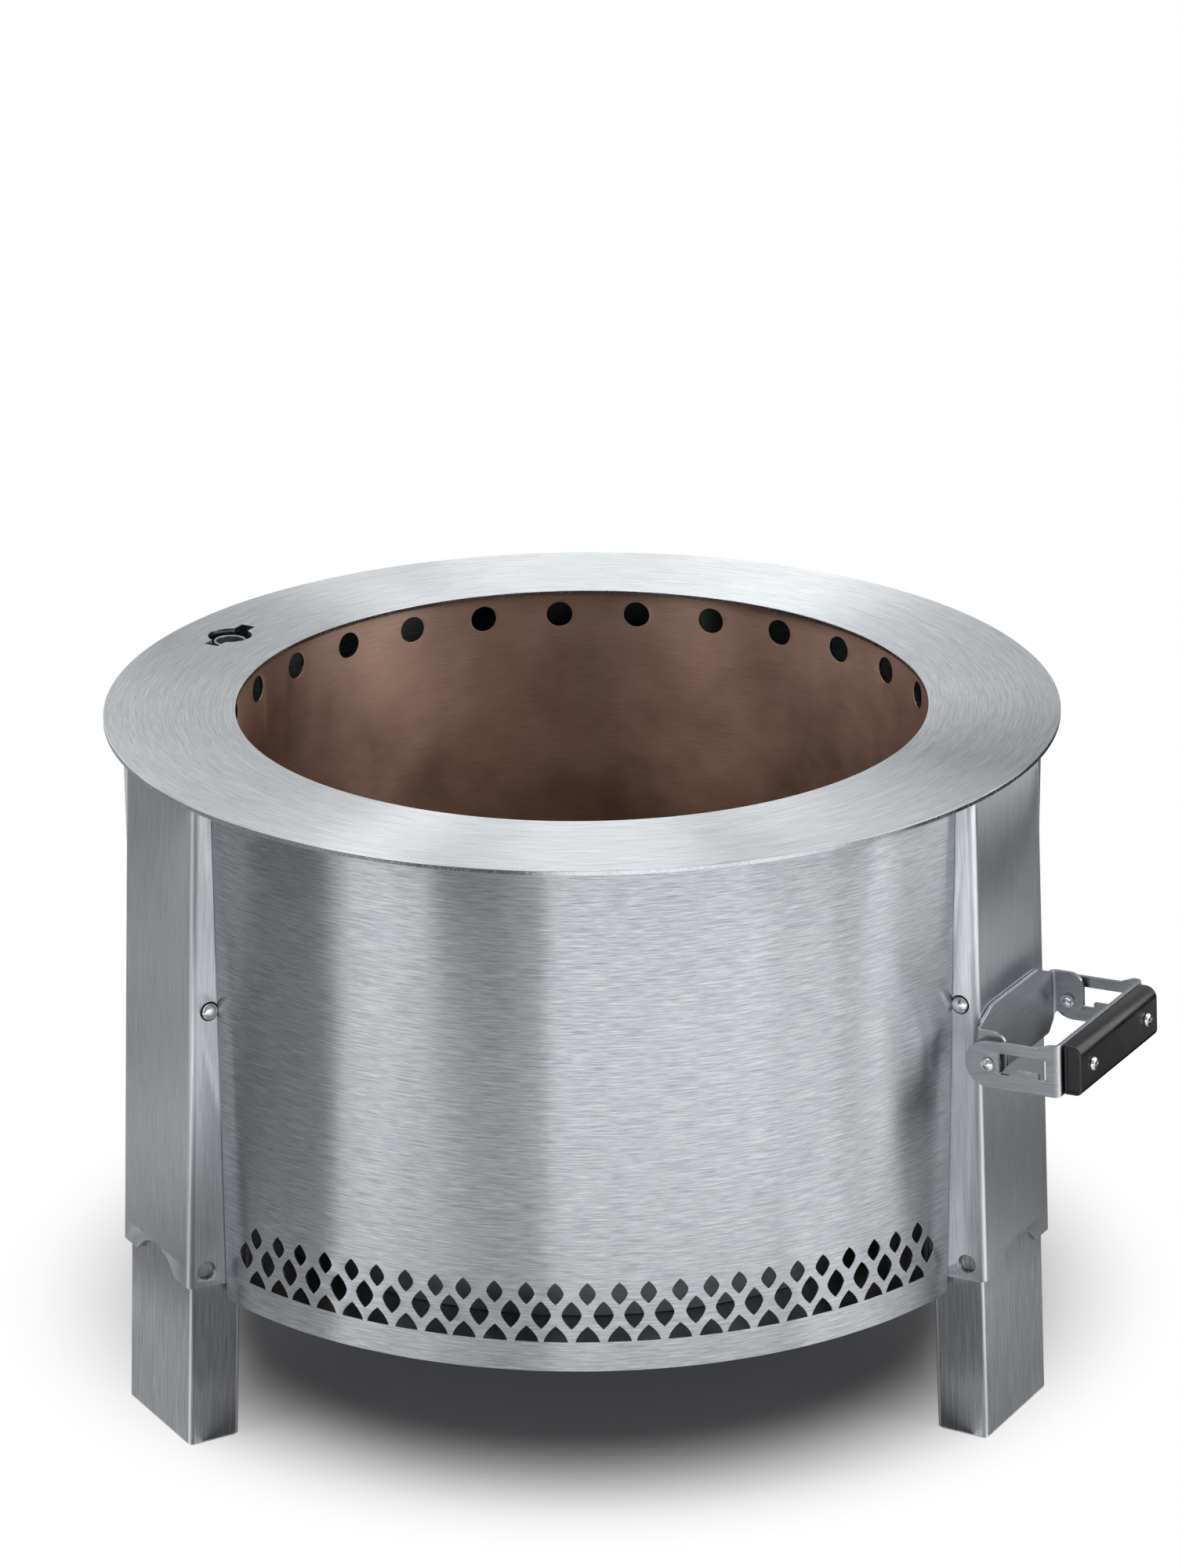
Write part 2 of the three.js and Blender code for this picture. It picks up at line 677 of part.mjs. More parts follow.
// Domed nut on the screw, against the inside of the ear
function pivotNut(side) {
  const seat = bracketWidth / 2 - handleSheet - seatGap;
  const bore = pivotScrewRadius + seatGap;
  const boreEnd = bracketWidth / 2 - handleSheet - nutHeight / 2 - seatGap;
  const top = seat - nutHeight;
  return turnedAtPivot([
    [0, top], [nutRadius / 2, top], [nutRadius, top + nutHeight / 3], [nutRadius, seat],
    [bore, seat], [bore, boreEnd], [0, boreEnd],
  ], side);
}

// Nylon spacer that the arm turns against
function pivotSpacer(side) {
  const inner = bracketWidth / 2 + seatGap;
  const bore = pivotScrewRadius + seatGap;
  return turnedAtPivot([
    [bore, inner], [spacerRadius, inner], [spacerRadius, inner + spacerSheet],
    [bore, inner + spacerSheet], [bore, inner],
  ], side);
}

// Grip screw: domed head on the grip, its shank into the bail
function gripScrew(side) {
  const seat = bailReach + seatGap + gripDepth + seatGap;
  const end = bailReach - handleSheet;
  const profile = [
    [0, end], [gripScrewRadius, end], [gripScrewRadius, seat],
    ...headProfile(gripScrewHeadRadius, gripScrewHeadHeight, seat),
  ].map(([radius, y]) => new THREE.Vector2(radius, y));
  const screw = new THREE.LatheGeometry(profile, screwFacets);
  screw.rotateZ(-Math.PI / 2);
  return solidOf(screw.translate(0, side * gripScrewSpacing / 2, gripLift - handleDrop));
}

// Receiver: the tube under the socket that a cooking post stands in
function receiverTube() {
  const bottom = baseSheet + seatGap;
  const section = new THREE.Shape(circlePoints(receiverRadius, receiverFacets));
  section.holes.push(new THREE.Path(circlePoints(receiverRadius - receiverSheet, receiverFacets)));
  return solidOf(extrude(section, weldedTop - bottom).translate(-socketRadius, 0, bottom));
}

// Receiver clip: a flat lug from the shell to the receiver tube
function receiverClip(drop) {
  const outer = insideShell;
  const half = receiverClipWidth / 2;
  const inner = socketRadius - receiverRadius - 2 * receiverClipSheet;
  const spread = Math.asin(half / outer);
  const lug = new THREE.Shape();
  lug.moveTo(-inner, half / 2);
  lug.lineTo(-socketRadius, half);
  lug.absarc(0, 0, outer, Math.PI - spread, Math.PI + spread, false);
  lug.lineTo(-socketRadius, -half);
  lug.lineTo(-inner, -half / 2);
  const bore = circlePoints(receiverRadius + seatGap, receiverFacets)
    .map((point) => point.add(new THREE.Vector2(-socketRadius, 0)));
  lug.holes.push(new THREE.Path(bore));
  return solidOf(extrude(lug, receiverClipSheet, 6).translate(0, 0, rimUnderside - drop));
}

addPiece(firePit, 'rim_plate', rimPlate(), brushedSteel);
addPiece(firePit, 'base_plate', basePlate(), legSteel);
addPiece(firePit, 'burn_chamber', burnChamber(), tintedSteel);
addPiece(firePit, 'chamber_floor', chamberFloor(), tintedSteel);
addPiece(firePit, 'receiver_tube', receiverTube(), brushedSteel);
receiverClipDrops.forEach((drop, n) => {
  addPiece(firePit, `receiver_clip_${n + 1}`, receiverClip(drop), brushedSteel);
});

for (let n = 0; n < legCount; n++) {
  const number = n + 1;
  addPiece(firePit, `shell_panel_${number}`, shellPanel((n - 0.5) * legStep), brushedSteel);
  const frame = legFrame(n);
  addPiece(frame, `leg_sleeve_${number}`, legSleeve(), brushedSteel);
  addPiece(frame, `sleeve_back_${number}`, sleeveBack(), brushedSteel);
  addPiece(frame, `leg_${number}`, leg(), legSteel);
  for (const [name, side] of [['left', 1], ['right', -1]]) {
    addPiece(frame, `snap_button_${number}_${name}`, snapButton(side), brightSteel);
    addPiece(frame, `leaf_spring_${number}_${name}`, leafSpring(side), springSteel);
  }
  if (n > 0) continue;

  addPiece(frame, 'handle_bracket', handleBracket(), brushedSteel);
  addPiece(frame, 'handle_bail', handleBail(), brushedSteel);
  addPiece(frame, 'handle_grip', handleGrip(), blackNylon);
  for (const [name, side] of [['left', 1], ['right', -1]]) {
    addPiece(frame, `pivot_screw_${name}`, pivotScrew(side), brightSteel);
    addPiece(frame, `pivot_nut_${name}`, pivotNut(side), brightSteel);
    addPiece(frame, `pivot_spacer_${name}`, pivotSpacer(side), blackNylon);
    addPiece(frame, `grip_screw_${name}`, gripScrew(side), brightSteel);
  }
}

export default firePit;
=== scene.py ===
"""Smokeless fire pit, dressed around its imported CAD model.

Shapes are worked out in millimetres, in the part's own frame, and turned to metres as each
mesh is made. Sheet pieces are made the way the shop makes them: cut flat, then rolled or
folded.
"""
import math

import bmesh
import bpy
import numpy as np
from mathutils import Matrix, Vector
from mathutils.geometry import tessellate_polygon


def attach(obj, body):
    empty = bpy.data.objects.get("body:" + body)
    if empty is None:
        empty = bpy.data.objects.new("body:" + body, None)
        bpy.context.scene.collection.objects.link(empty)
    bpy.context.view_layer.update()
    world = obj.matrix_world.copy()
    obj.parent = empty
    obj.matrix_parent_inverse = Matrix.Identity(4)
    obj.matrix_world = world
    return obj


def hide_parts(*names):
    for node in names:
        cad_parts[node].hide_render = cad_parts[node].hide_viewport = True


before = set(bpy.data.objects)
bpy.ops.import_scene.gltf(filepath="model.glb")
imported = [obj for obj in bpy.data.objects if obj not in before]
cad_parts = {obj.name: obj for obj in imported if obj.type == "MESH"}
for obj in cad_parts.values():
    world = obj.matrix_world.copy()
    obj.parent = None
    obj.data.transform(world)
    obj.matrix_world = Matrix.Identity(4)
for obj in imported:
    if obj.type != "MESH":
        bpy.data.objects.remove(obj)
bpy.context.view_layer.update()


# Base plate
# A laser-cut disc of stainless sheet that closes the underside. It is left as it came from
# the mill, and is welded inside the skirt of the shell.


def linear(colour):
    """An sRGB hex colour as Blender's linear one."""
    parts = [int(colour[n:n + 2], 16) / 255 for n in (1, 3, 5)]
    return [c / 12.92 if c <= 0.04045 else ((c + 0.055) / 1.055) ** 2.4 for c in parts] + [1]


def add_node(tree, kind, inputs=None, **settings):
    """Adds a node, makes its settings, then sets or links its inputs."""
    node = tree.nodes.new(kind)
    for name, value in settings.items():
        setattr(node, name, value)
    for name, value in (inputs or {}).items():
        if isinstance(value, bpy.types.NodeSocket):
            tree.links.new(value, node.inputs[name])
        else:
            node.inputs[name].default_value = value
    return node


def empty_material(name):
    material = bpy.data.materials.new(name)
    material.use_nodes = True
    material.node_tree.nodes.clear()
    return material


def mill_steel(name, dark, light, roughness):
    """Cold-rolled stainless as delivered: a soft, even grey with a faint cloud of rolling
    marks, which blurs what it reflects the same way all round."""
    cloud_size, grit_size, shine_spread = 0.030, 0.0016, 0.05
    material = empty_material(name)
    tree = material.node_tree
    place = add_node(tree, "ShaderNodeTexCoord").outputs["Object"]
    cloud = add_node(tree, "ShaderNodeTexNoise", {
        "Vector": place, "Scale": 1 / cloud_size, "Detail": 3.0}).outputs["Fac"]
    grit = add_node(tree, "ShaderNodeTexNoise", {
        "Vector": place, "Scale": 1 / grit_size, "Detail": 2.0}).outputs["Fac"]
    both = add_node(tree, "ShaderNodeMath", {0: cloud, 1: grit}, operation="ADD").outputs[0]
    share = add_node(tree, "ShaderNodeMapRange", {
        "Value": both, "From Min": 0.75, "From Max": 1.25}).outputs["Result"]
    colour = add_node(tree, "ShaderNodeMix", {
        "Factor": share, "A": linear(dark), "B": linear(light)}, data_type="RGBA")
    blur = add_node(tree, "ShaderNodeMapRange", {
        "Value": both, "From Min": 0.7, "From Max": 1.3,
        "To Min": roughness - shine_spread,
        "To Max": roughness + shine_spread}).outputs["Result"]
    relief = add_node(tree, "ShaderNodeBump", {
        "Height": grit, "Strength": 0.4, "Distance": 0.00003}).outputs["Normal"]
    shader = add_node(tree, "ShaderNodeBsdfPrincipled", {
        "Base Color": colour.outputs["Result"], "Metallic": 1.0, "Roughness": blur,
        "Normal": relief})
    add_node(tree, "ShaderNodeOutputMaterial", {"Surface": shader.outputs["BSDF"]})
    return material


def finish_node(name, material):
    """Gives a CAD node that keeps its own shape its material."""
    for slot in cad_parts[name].material_slots:
        slot.material = material


plain_sheet = mill_steel("stainless 304, cold rolled", "#9c9da0", "#b0b1b3", 0.38)
finish_node("base_plate", plain_sheet)


# Burn chamber
# A strip of 2 mm stainless punched with two rows of air holes, rolled to a ring and butt
# welded at the back. The fire has tinted it straw and brown at the top, with soot below.
chamber_radius = 208
chamber_sheet, chamber_edge = 2, 0.25
chamber_bottom, welded_top = 1.8, 298.0
upper_holes = {"Count": 27, "Width": 16.0, "Middle": 285.0}
lower_holes = {"Count": 27, "Width": 14.0, "Middle": 39.0}
hole_points = 24
punch_holes = 3
# The seam stands at the back, half-way between two air holes
chamber_seam = math.radians(183.67)
# A sheet that closes on itself is cut this much too long at each end, then trimmed
seam_trim = 3


def row_tree():
    """Geometry Nodes for one row of openings along a flat sheet. Openings stand in groups of
    three, as a punch with three holes leaves them, and each is a circle or a pointed leaf."""
    leaf_fullness = 0.7
    tree = bpy.data.node_groups.new("Row of openings", "GeometryNodeTree")
    sockets = tree.interface
    for name, kind in (("Count", "Int"), ("Step", "Float"), ("Pitch", "Float"),
                       ("Between", "Int"), ("Middle", "Float"), ("Width", "Float"),
                       ("Height", "Float"), ("Leaf", "Float"), ("Foot", "Float"),
                       ("Material", "Material")):
        sockets.new_socket(name, in_out="INPUT", socket_type="NodeSocket" + kind)
    sockets.new_socket("Geometry", in_out="OUTPUT", socket_type="NodeSocketGeometry")
    given = add_node(tree, "NodeGroupInput").outputs

    def sum_up(operation, *values):
        return add_node(tree, "ShaderNodeMath", dict(enumerate(values)),
                        operation=operation).outputs[0]

    # Where each opening stands along the sheet
    last = sum_up("SUBTRACT", sum_up("SUBTRACT", given["Count"], 1.0), given["Between"])
    index = sum_up("SUBTRACT", add_node(tree, "GeometryNodeInputIndex").outputs[0],
                   sum_up("DIVIDE", last, 2.0))
    before = sum_up("SUBTRACT", index, given["Between"])
    places = []
    for number in (index, before):
        punch = sum_up("ROUND", sum_up("DIVIDE", number, punch_holes))
        beside = sum_up("SUBTRACT", number, sum_up("MULTIPLY", punch, punch_holes))
        places.append(sum_up("ADD", sum_up("MULTIPLY", punch, given["Step"]),
                             sum_up("MULTIPLY", beside, given["Pitch"])))
    along = sum_up("DIVIDE", sum_up("ADD", *places), 2.0)
    spot = add_node(tree, "ShaderNodeCombineXYZ", {"X": along, "Y": given["Middle"]})
    points = add_node(tree, "GeometryNodePoints", {
        "Count": given["Count"], "Position": spot.outputs[0]})

    # The outline of one opening, made from a circle of radius 1
    circle = add_node(tree, "GeometryNodeCurvePrimitiveCircle", {
        "Resolution": hole_points, "Radius": 1.0}, mode="RADIUS")
    seat = add_node(tree, "GeometryNodeInputPosition").outputs[0]
    x, y, _ = add_node(tree, "ShaderNodeSeparateXYZ", {0: seat}).outputs
    rise = sum_up("DIVIDE", sum_up("ARCSINE", y), math.pi / 2)
    level = sum_up("ABSOLUTE", rise)
    cheek = sum_up("MULTIPLY", sum_up("SUBTRACT", 1.0, level),
                   sum_up("ADD", 1.0, sum_up("MULTIPLY", level, leaf_fullness)))
    leaf_x = sum_up("MULTIPLY", sum_up("SIGN", x), cheek)
    leaf_y = sum_up("MAXIMUM", rise, given["Foot"])
    halves = []
    for plain, pointed, size in ((x, leaf_x, given["Width"]), (y, leaf_y, given["Height"])):
        share = add_node(tree, "ShaderNodeMix", {
            "Factor": given["Leaf"], "A": plain, "B": pointed}, data_type="FLOAT")
        halves.append(sum_up("MULTIPLY", share.outputs["Result"], sum_up("DIVIDE", size, 2.0)))
    shaped = add_node(tree, "ShaderNodeCombineXYZ", {"X": halves[0], "Y": halves[1]})
    opening = add_node(tree, "GeometryNodeSetPosition", {
        "Geometry": circle.outputs["Curve"], "Position": shaped.outputs[0]})

    row = add_node(tree, "GeometryNodeInstanceOnPoints", {
        "Points": points.outputs[0], "Instance": opening.outputs[0]})
    real = add_node(tree, "GeometryNodeRealizeInstances", {"Geometry": row.outputs[0]})
    edges = add_node(tree, "GeometryNodeCurveToMesh", {"Curve": real.outputs[0]})
    dressed = add_node(tree, "GeometryNodeSetMaterial", {
        "Geometry": edges.outputs[0], "Material": given["Material"]})
    add_node(tree, "NodeGroupOutput", {"Geometry": dressed.outputs[0]})
    return tree


def add_object(name, data):
    """A new object at the origin, linked to the scene."""
    piece = bpy.data.objects.new(name, data)
    bpy.context.collection.objects.link(piece)
    return piece


def plain_mesh(host):
    """The plain mesh that an object's modifiers make. The object itself is removed."""
    evaluated = host.evaluated_get(bpy.context.evaluated_depsgraph_get())
    made = bpy.data.meshes.new_from_object(evaluated)
    host.modifiers.clear()
    bpy.data.objects.remove(host)
    return made


def run_tree(name, mesh, tree, sizes):
    """Runs a Geometry Nodes tree on a mesh and gives back the plain mesh that it makes."""
    host = add_object(name, mesh)
    modifier = host.modifiers.new(tree.name, "NODES")
    modifier.node_group = tree
    for socket in tree.interface.items_tree:
        if socket.in_out == "INPUT" and socket.name in sizes:
            modifier[socket.identifier] = sizes[socket.name]
    return plain_mesh(host)


openings = row_tree()


def row_of_openings(material, **sizes):
    """Outlines of one row of openings, in millimetres on the flat sheet."""
    mesh = run_tree("openings", bpy.data.meshes.new("openings"), openings,
                    {"Material": material, **sizes})
    points = np.array([vertex.co[:2] for vertex in mesh.vertices])
    bpy.data.meshes.remove(mesh)
    return [loop[::-1] for loop in points.reshape(-1, hole_points, 2)]


def inset(points, distance):
    """A closed outline moved to its left, into the sheet."""
    ahead = np.roll(points, -1, axis=0) - points
    ahead = ahead / np.linalg.norm(ahead, axis=1, keepdims=True)
    left = np.stack([-ahead[:, 1], ahead[:, 0]], axis=1)
    before = np.roll(left, 1, axis=0)
    return points + distance * (left + before) / (1 + (left * before).sum(1, keepdims=True))


def cut_sheet(outlines, sheet, edge):
    """A flat sheet with its outer face on z = 0 and the burr taken off every cut edge. The
    first outline runs anticlockwise, the openings clockwise."""
    flat = bmesh.new()
    faces_in = []
    rings = []
    for outline in outlines:
        outline = np.asarray(outline, float)
        inner = inset(outline, edge)
        levels = ((inner, 0), (outline, -edge), (outline, edge - sheet), (inner, -sheet))
        ring = [[flat.verts.new((*point, z)) for point in points] for points, z in levels]
        for upper, lower in zip(ring, ring[1:]):
            for n in range(len(upper)):
                m = (n + 1) % len(upper)
                flat.faces.new((lower[n], lower[m], upper[m], upper[n]))
        faces_in.append([Vector((*point, 0)) for point in inner])
        rings.append(ring)
    upper = [vertex for ring in rings for vertex in ring[0]]
    lower = [vertex for ring in rings for vertex in ring[-1]]
    for corners in tessellate_polygon(faces_in):
        a, b, c = (upper[n].co for n in corners)
        if (b - a).cross(c - a).z < 0:
            corners = corners[::-1]
        flat.faces.new([upper[n] for n in corners])
        flat.faces.new([lower[n] for n in reversed(corners)])
    return flat


# How much a face's normal points up or down: less on the wall of a cut, more on the flat
wall_lean, flat_lean = 0.01, 0.999


def corner_normals(flat):
    """Shading for a flat sheet: its faces stay dead flat, its cut edges turn smoothly."""
    same_way = 0.75
    flat.normal_update()
    normals = []
    for face in flat.faces:
        normal = face.normal.copy()
        lean = abs(normal.z)
        side = Vector((normal.x, normal.y, 0))
        if side.length:
            side.normalize()
        for loop in face.loops:
            if lean > flat_lean:
                normals.append(normal)
                continue
            linked = loop.vert.link_faces
            level = [other.normal for other in linked if abs(other.normal.z) > flat_lean]
            if lean > wall_lean and level:
                normals.append(level[0].copy())
                continue
            walls = [other.normal for other in linked
                     if abs(other.normal.z) < wall_lean and other.normal.dot(side) > same_way]
            total = sum(walls, Vector()) if walls else side
            normals.append(total.normalized())
    return normals


tightest_roll = 50


def on_path(start, runs, distance):
    """The point and the heading of a bent sheet's outer face, a distance along it, and a wave
    that rises and falls through a fold. Each run is a length and the angle it turns left
    through. A bend tighter than the tightest roll is a fold."""
    x, y, heading = start
    side = 1 if distance > sum(length for length, _ in runs) / 2 else -1
    for number, (length, turn) in enumerate(runs):
        part = distance if number == len(runs) - 1 else min(distance, length)
        fold = 0
        if turn:
            radius = length / turn
            if radius < tightest_roll:
                # The wave rises where a fold gets a painted highlight and falls where it gets
                # painted shade
                fold = side * math.sin(2 * math.pi * part / length)
            angle = part / radius
            x += radius * (math.sin(heading + angle) - math.sin(heading))
            y += radius * (math.cos(heading) - math.cos(heading + angle))
            heading += angle
        else:
            x += part * math.cos(heading)
            y += part * math.sin(heading)
        distance -= part
        if distance <= 0 or number == len(runs) - 1:
            return x, y, heading, fold


def folds(start, runs):
    """Where a strip that bends along its runs is scored, and how its points move."""
    roll_step, fold_step = 1.5, 12
    lines = []
    reached = 0
    for length, turn in runs:
        is_rolled = turn and length / turn > tightest_roll
        step = roll_step if is_rolled else fold_step
        parts = max(1, math.ceil(math.degrees(turn) / step))
        lines += [reached + length * part / parts for part in range(parts)]
        reached += length

    def bend(distance, height):
        x, y, heading, fold = on_path(start, runs, distance)
        ahead = Vector((math.cos(heading), math.sin(heading), 0))
        out = Vector((ahead.y, -ahead.x, 0))
        return Vector((x, y, height)), ahead, Vector((0, 0, 1)), out, fold
    return [*lines, reached], bend


def mesh_of(shape, name):
    """Turns what was built up into a mesh."""
    mesh = bpy.data.meshes.new(name)
    shape.to_mesh(mesh)
    shape.free()
    return mesh


def form_sheet(name, material, outlines, sheet, edge, forming, grain, place, closed=False):
    """Cuts a sheet flat, scores it, bends it and stands it in its place. Its UV map is the
    flat pattern, in metres, with U along the grain of the brushing."""
    flat = cut_sheet(outlines, sheet, edge)
    lines, bend = forming
    for n, distance in enumerate(lines):
        bmesh.ops.bisect_plane(
            flat, geom=[*flat.verts, *flat.edges, *flat.faces], dist=0.0001,
            plane_co=(distance, 0, 0), plane_no=(-1 if n == 0 else 1, 0, 0),
            clear_outer=closed and n in (0, len(lines) - 1))
    corners = iter(corner_normals(flat))
    sheet_map = flat.loops.layers.uv.new("Brushing")
    # Each point keeps the fold's wave, from which the steel paints a highlight and shade along the
    # fold
    fold_highlight_and_shade = flat.verts.layers.float.new("fold")
    bent = {vertex: bend(vertex.co.x, vertex.co.y) for vertex in flat.verts}
    shading = []
    for face in flat.faces:
        face.material_index = abs(face.normal.z) < wall_lean
        for loop in face.loops:
            x, y, z = loop.vert.co
            _, ahead, up, out, _ = bent[loop.vert]
            normal = next(corners)
            shading.append(place.to_3x3() @ (normal.x * ahead + normal.y * up + normal.z * out))
            along, across = (x + z) / 1000, (y + z / 2) / 1000
            loop[sheet_map].uv = (along, across) if grain == "round" else (across, -along)
    for vertex, (spot, _, _, out, fold) in bent.items():
        vertex.co = spot + vertex.co.z * out
        vertex[fold_highlight_and_shade] = fold
    piece = stand(name, mesh_of(flat, name), material, place, shading)
    piece.data.materials.append(cut_edge)
    return piece


def stand(name, mesh, material, place, shading=None):
    """Puts a mesh in its place and turns it to metres, as an object at the origin."""
    mesh.transform(Matrix.Scale(0.001, 4) @ place)
    mesh.shade_smooth()
    if shading:
        mesh.normals_split_custom_set([tuple(normal.normalized()) for normal in shading])
    else:
        mesh.set_sharp_from_angle(angle=math.radians(35))
    # A cut sheet comes without a material, and clearing would forget which faces are its edges
    if mesh.materials:
        mesh.materials.clear()
    mesh.materials.append(material)
    return add_object(name, mesh)


def hand_over(piece, body, slot, *nodes):
    """The piece rides on its body and stands for its CAD nodes."""
    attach(piece, body)
    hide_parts(*nodes)


def tinted_steel(name, clean_from):
    """Brushed stainless that a fire has oxidised: pinkish straw where the flame runs hottest
    under the rim, brown and then dull with soot towards the floor. The brushing still shows,
    and the steel is clean from a radius on, outside the wall."""
    cloud_size, drift_height = 0.045, 0.10
    stroke_length, stroke_width = 0.018, 0.0008
    smoothest, roughest = 0.40, 0.52
    soot_to_brown, brown_to_straw = (0.10, 0.25), (0.22, 0.36)
    material = empty_material(name)
    tree = material.node_tree
    place = add_node(tree, "ShaderNodeTexCoord").outputs["Object"]
    height = add_node(tree, "ShaderNodeSeparateXYZ", {0: place}).outputs["Z"]
    cloud = add_node(tree, "ShaderNodeTexNoise", {
        "Vector": place, "Scale": 1 / cloud_size, "Detail": 4.0,
        "Roughness": 0.6}).outputs["Fac"]
    drift = add_node(tree, "ShaderNodeMath", {
        0: cloud, 1: drift_height, 2: height}, operation="MULTIPLY_ADD").outputs[0]
    sheet = add_node(tree, "ShaderNodeUVMap", uv_map="Brushing").outputs["UV"]
    stroke = add_node(tree, "ShaderNodeVectorMath", {
        0: sheet, 1: (1 / stroke_length, 1 / stroke_width, 1.0)},
        operation="MULTIPLY").outputs["Vector"]
    grain = add_node(tree, "ShaderNodeTexNoise", {
        "Vector": stroke, "Scale": 1.0, "Detail": 2.0}).outputs["Fac"]
    tint = linear("#584a43")
    for (low, high), next_tint in ((soot_to_brown, "#a58472"), (brown_to_straw, "#c4a594")):
        share = add_node(tree, "ShaderNodeMapRange", {
            "Value": drift, "From Min": low, "From Max": high}).outputs["Result"]
        tint = add_node(tree, "ShaderNodeMix", {
            "Factor": share, "A": tint, "B": linear(next_tint)}, data_type="RGBA").outputs["Result"]
    level = add_node(tree, "ShaderNodeVectorMath", {
        0: place, 1: (1.0, 1.0, 0.0)}, operation="MULTIPLY").outputs["Vector"]
    radius = add_node(tree, "ShaderNodeVectorMath", {0: level}, operation="LENGTH")
    clean = add_node(tree, "ShaderNodeMath", {
        0: radius.outputs["Value"], 1: clean_from}, operation="GREATER_THAN").outputs[0]
    whole = add_node(tree, "ShaderNodeMix", {
        "Factor": clean, "A": tint, "B": linear("#a9abae")}, data_type="RGBA")
    shade = add_node(tree, "ShaderNodeMapRange", {
        "Value": grain, "From Min": 0.3, "From Max": 0.7,
        "To Min": 0.88, "To Max": 1.08}).outputs["Result"]
    colour = add_node(tree, "ShaderNodeVectorMath", {
        0: whole.outputs["Result"], "Scale": shade}, operation="SCALE").outputs["Vector"]
    blur = add_node(tree, "ShaderNodeMapRange", {
        "Value": cloud, "From Min": 0.3, "From Max": 0.7,
        "To Min": smoothest, "To Max": roughest})
    ahead = add_node(tree, "ShaderNodeTangent", direction_type="UV_MAP", uv_map="Brushing")
    shader = add_node(tree, "ShaderNodeBsdfPrincipled", {
        "Base Color": colour, "Metallic": 1.0, "Roughness": blur.outputs["Result"],
        "Anisotropic": 0.8, "Anisotropic Rotation": 0.25, "Tangent": ahead.outputs[0]})
    add_node(tree, "ShaderNodeOutputMaterial", {"Surface": shader.outputs["BSDF"]})
    return material


def box_outline(start, end, bottom, top):
    return [(start, bottom), (end, bottom), (end, top), (start, top)]


cut_edge = mill_steel("stainless 304, laser-cut edge", "#999ca0", "#b8bbbf", 0.26)
fired_steel = tinted_steel("stainless 304, brushed and heat tinted",
                           clean_from=(chamber_radius - chamber_edge * 2) / 1000)
here = Matrix()
chamber_length = 2 * math.pi * chamber_radius
chamber_holes = []
for row in (upper_holes, lower_holes):
    spacing = chamber_length / row["Count"]
    for outline in row_of_openings(fired_steel, **row, Height=row["Width"],
                                   Step=punch_holes * spacing, Pitch=spacing, Between=0,
                                   Leaf=0.0, Foot=-1.0):
        chamber_holes.append(outline + [chamber_length / 2, 0])
chamber_blank = box_outline(-seam_trim, chamber_length + seam_trim, chamber_bottom, welded_top)
chamber = form_sheet(
    "burn_chamber_wall", fired_steel, [chamber_blank, *chamber_holes],
    chamber_sheet, chamber_edge,
    folds((chamber_radius * math.cos(chamber_seam), chamber_radius * math.sin(chamber_seam),
           chamber_seam + math.pi / 2), [(chamber_length, 2 * math.pi)]),
    "round", here, closed=True)
hand_over(chamber, "fire_pit", "heat_tinted_steel", "burn_chamber")


# Chamber floor
# A pressed dish of 2 mm stainless with a turned-up lip, welded inside the wall above the
# lower air holes. Ash and soot have dulled it.
floor_rim, floor_flat, floor_sheet = 205.7, 120, 2
floor_low, lip_top, lip_edge = 21, 32, 0.3
# Its section, as radius and height: out along the underside, up the lip and back in
floor_profile = [
    (0, floor_low), (floor_flat, floor_low), (floor_rim - 1.2, 23.7), (floor_rim - 0.3, 24.2),
    (floor_rim, 25), (floor_rim, lip_top - lip_edge), (floor_rim - lip_edge, lip_top),
    (floor_rim - floor_sheet + lip_edge, lip_top), (floor_rim - floor_sheet, lip_top - lip_edge),
    (floor_rim - floor_sheet, 27.4), (floor_rim - 3, 26.1),
    (floor_flat, floor_low + floor_sheet), (0, floor_low + floor_sheet)]


def turned(profile, segments):
    """A turned shape about Z, from (radius, height) points that run from its underside
    outwards and up. Ends on the axis are closed, and so is a profile that ends where it
    began. U of its map runs round it."""
    shape = bmesh.new()
    rings = {}
    for radius, height in profile:
        angles = np.arange(segments if radius else 1) * 2 * math.pi / segments
        if (radius, height) not in rings:
            rings[radius, height] = [
                shape.verts.new((radius * math.cos(angle), radius * math.sin(angle), height))
                for angle in angles]
    round_map = shape.loops.layers.uv.new("Brushing")
    reach = 0
    for start, end in zip(profile, profile[1:]):
        low, high = rings[start], rings[end]
        length = math.dist(start, end)
        for n in range(segments):
            m = (n + 1) % segments
            corners = [(low[n % len(low)], n, reach), (low[m % len(low)], n + 1, reach),
                       (high[m % len(high)], n + 1, reach + length),
                       (high[n % len(high)], n, reach + length)]
            if len(low) == 1:
                corners = corners[1:]
            if len(high) == 1:
                corners = corners[:-1]
            face = shape.faces.new([vertex for vertex, _, _ in corners])
            middle = (start[0] + end[0]) / 2
            for loop, (_, step, across) in zip(face.loops, corners):
                angle = 2 * math.pi * step / segments
                loop[round_map].uv = (angle * middle / 1000, across / 1000)
        reach += length
    return mesh_of(shape, "turned")


# No part of the floor stays clean
ash_steel = tinted_steel("stainless 304, pressed and sooted", clean_from=1.0)
dish = stand("chamber_floor_dish", turned(floor_profile, segments=128), ash_steel, here)
hand_over(dish, "fire_pit", "heat_tinted_steel", "chamber_floor")


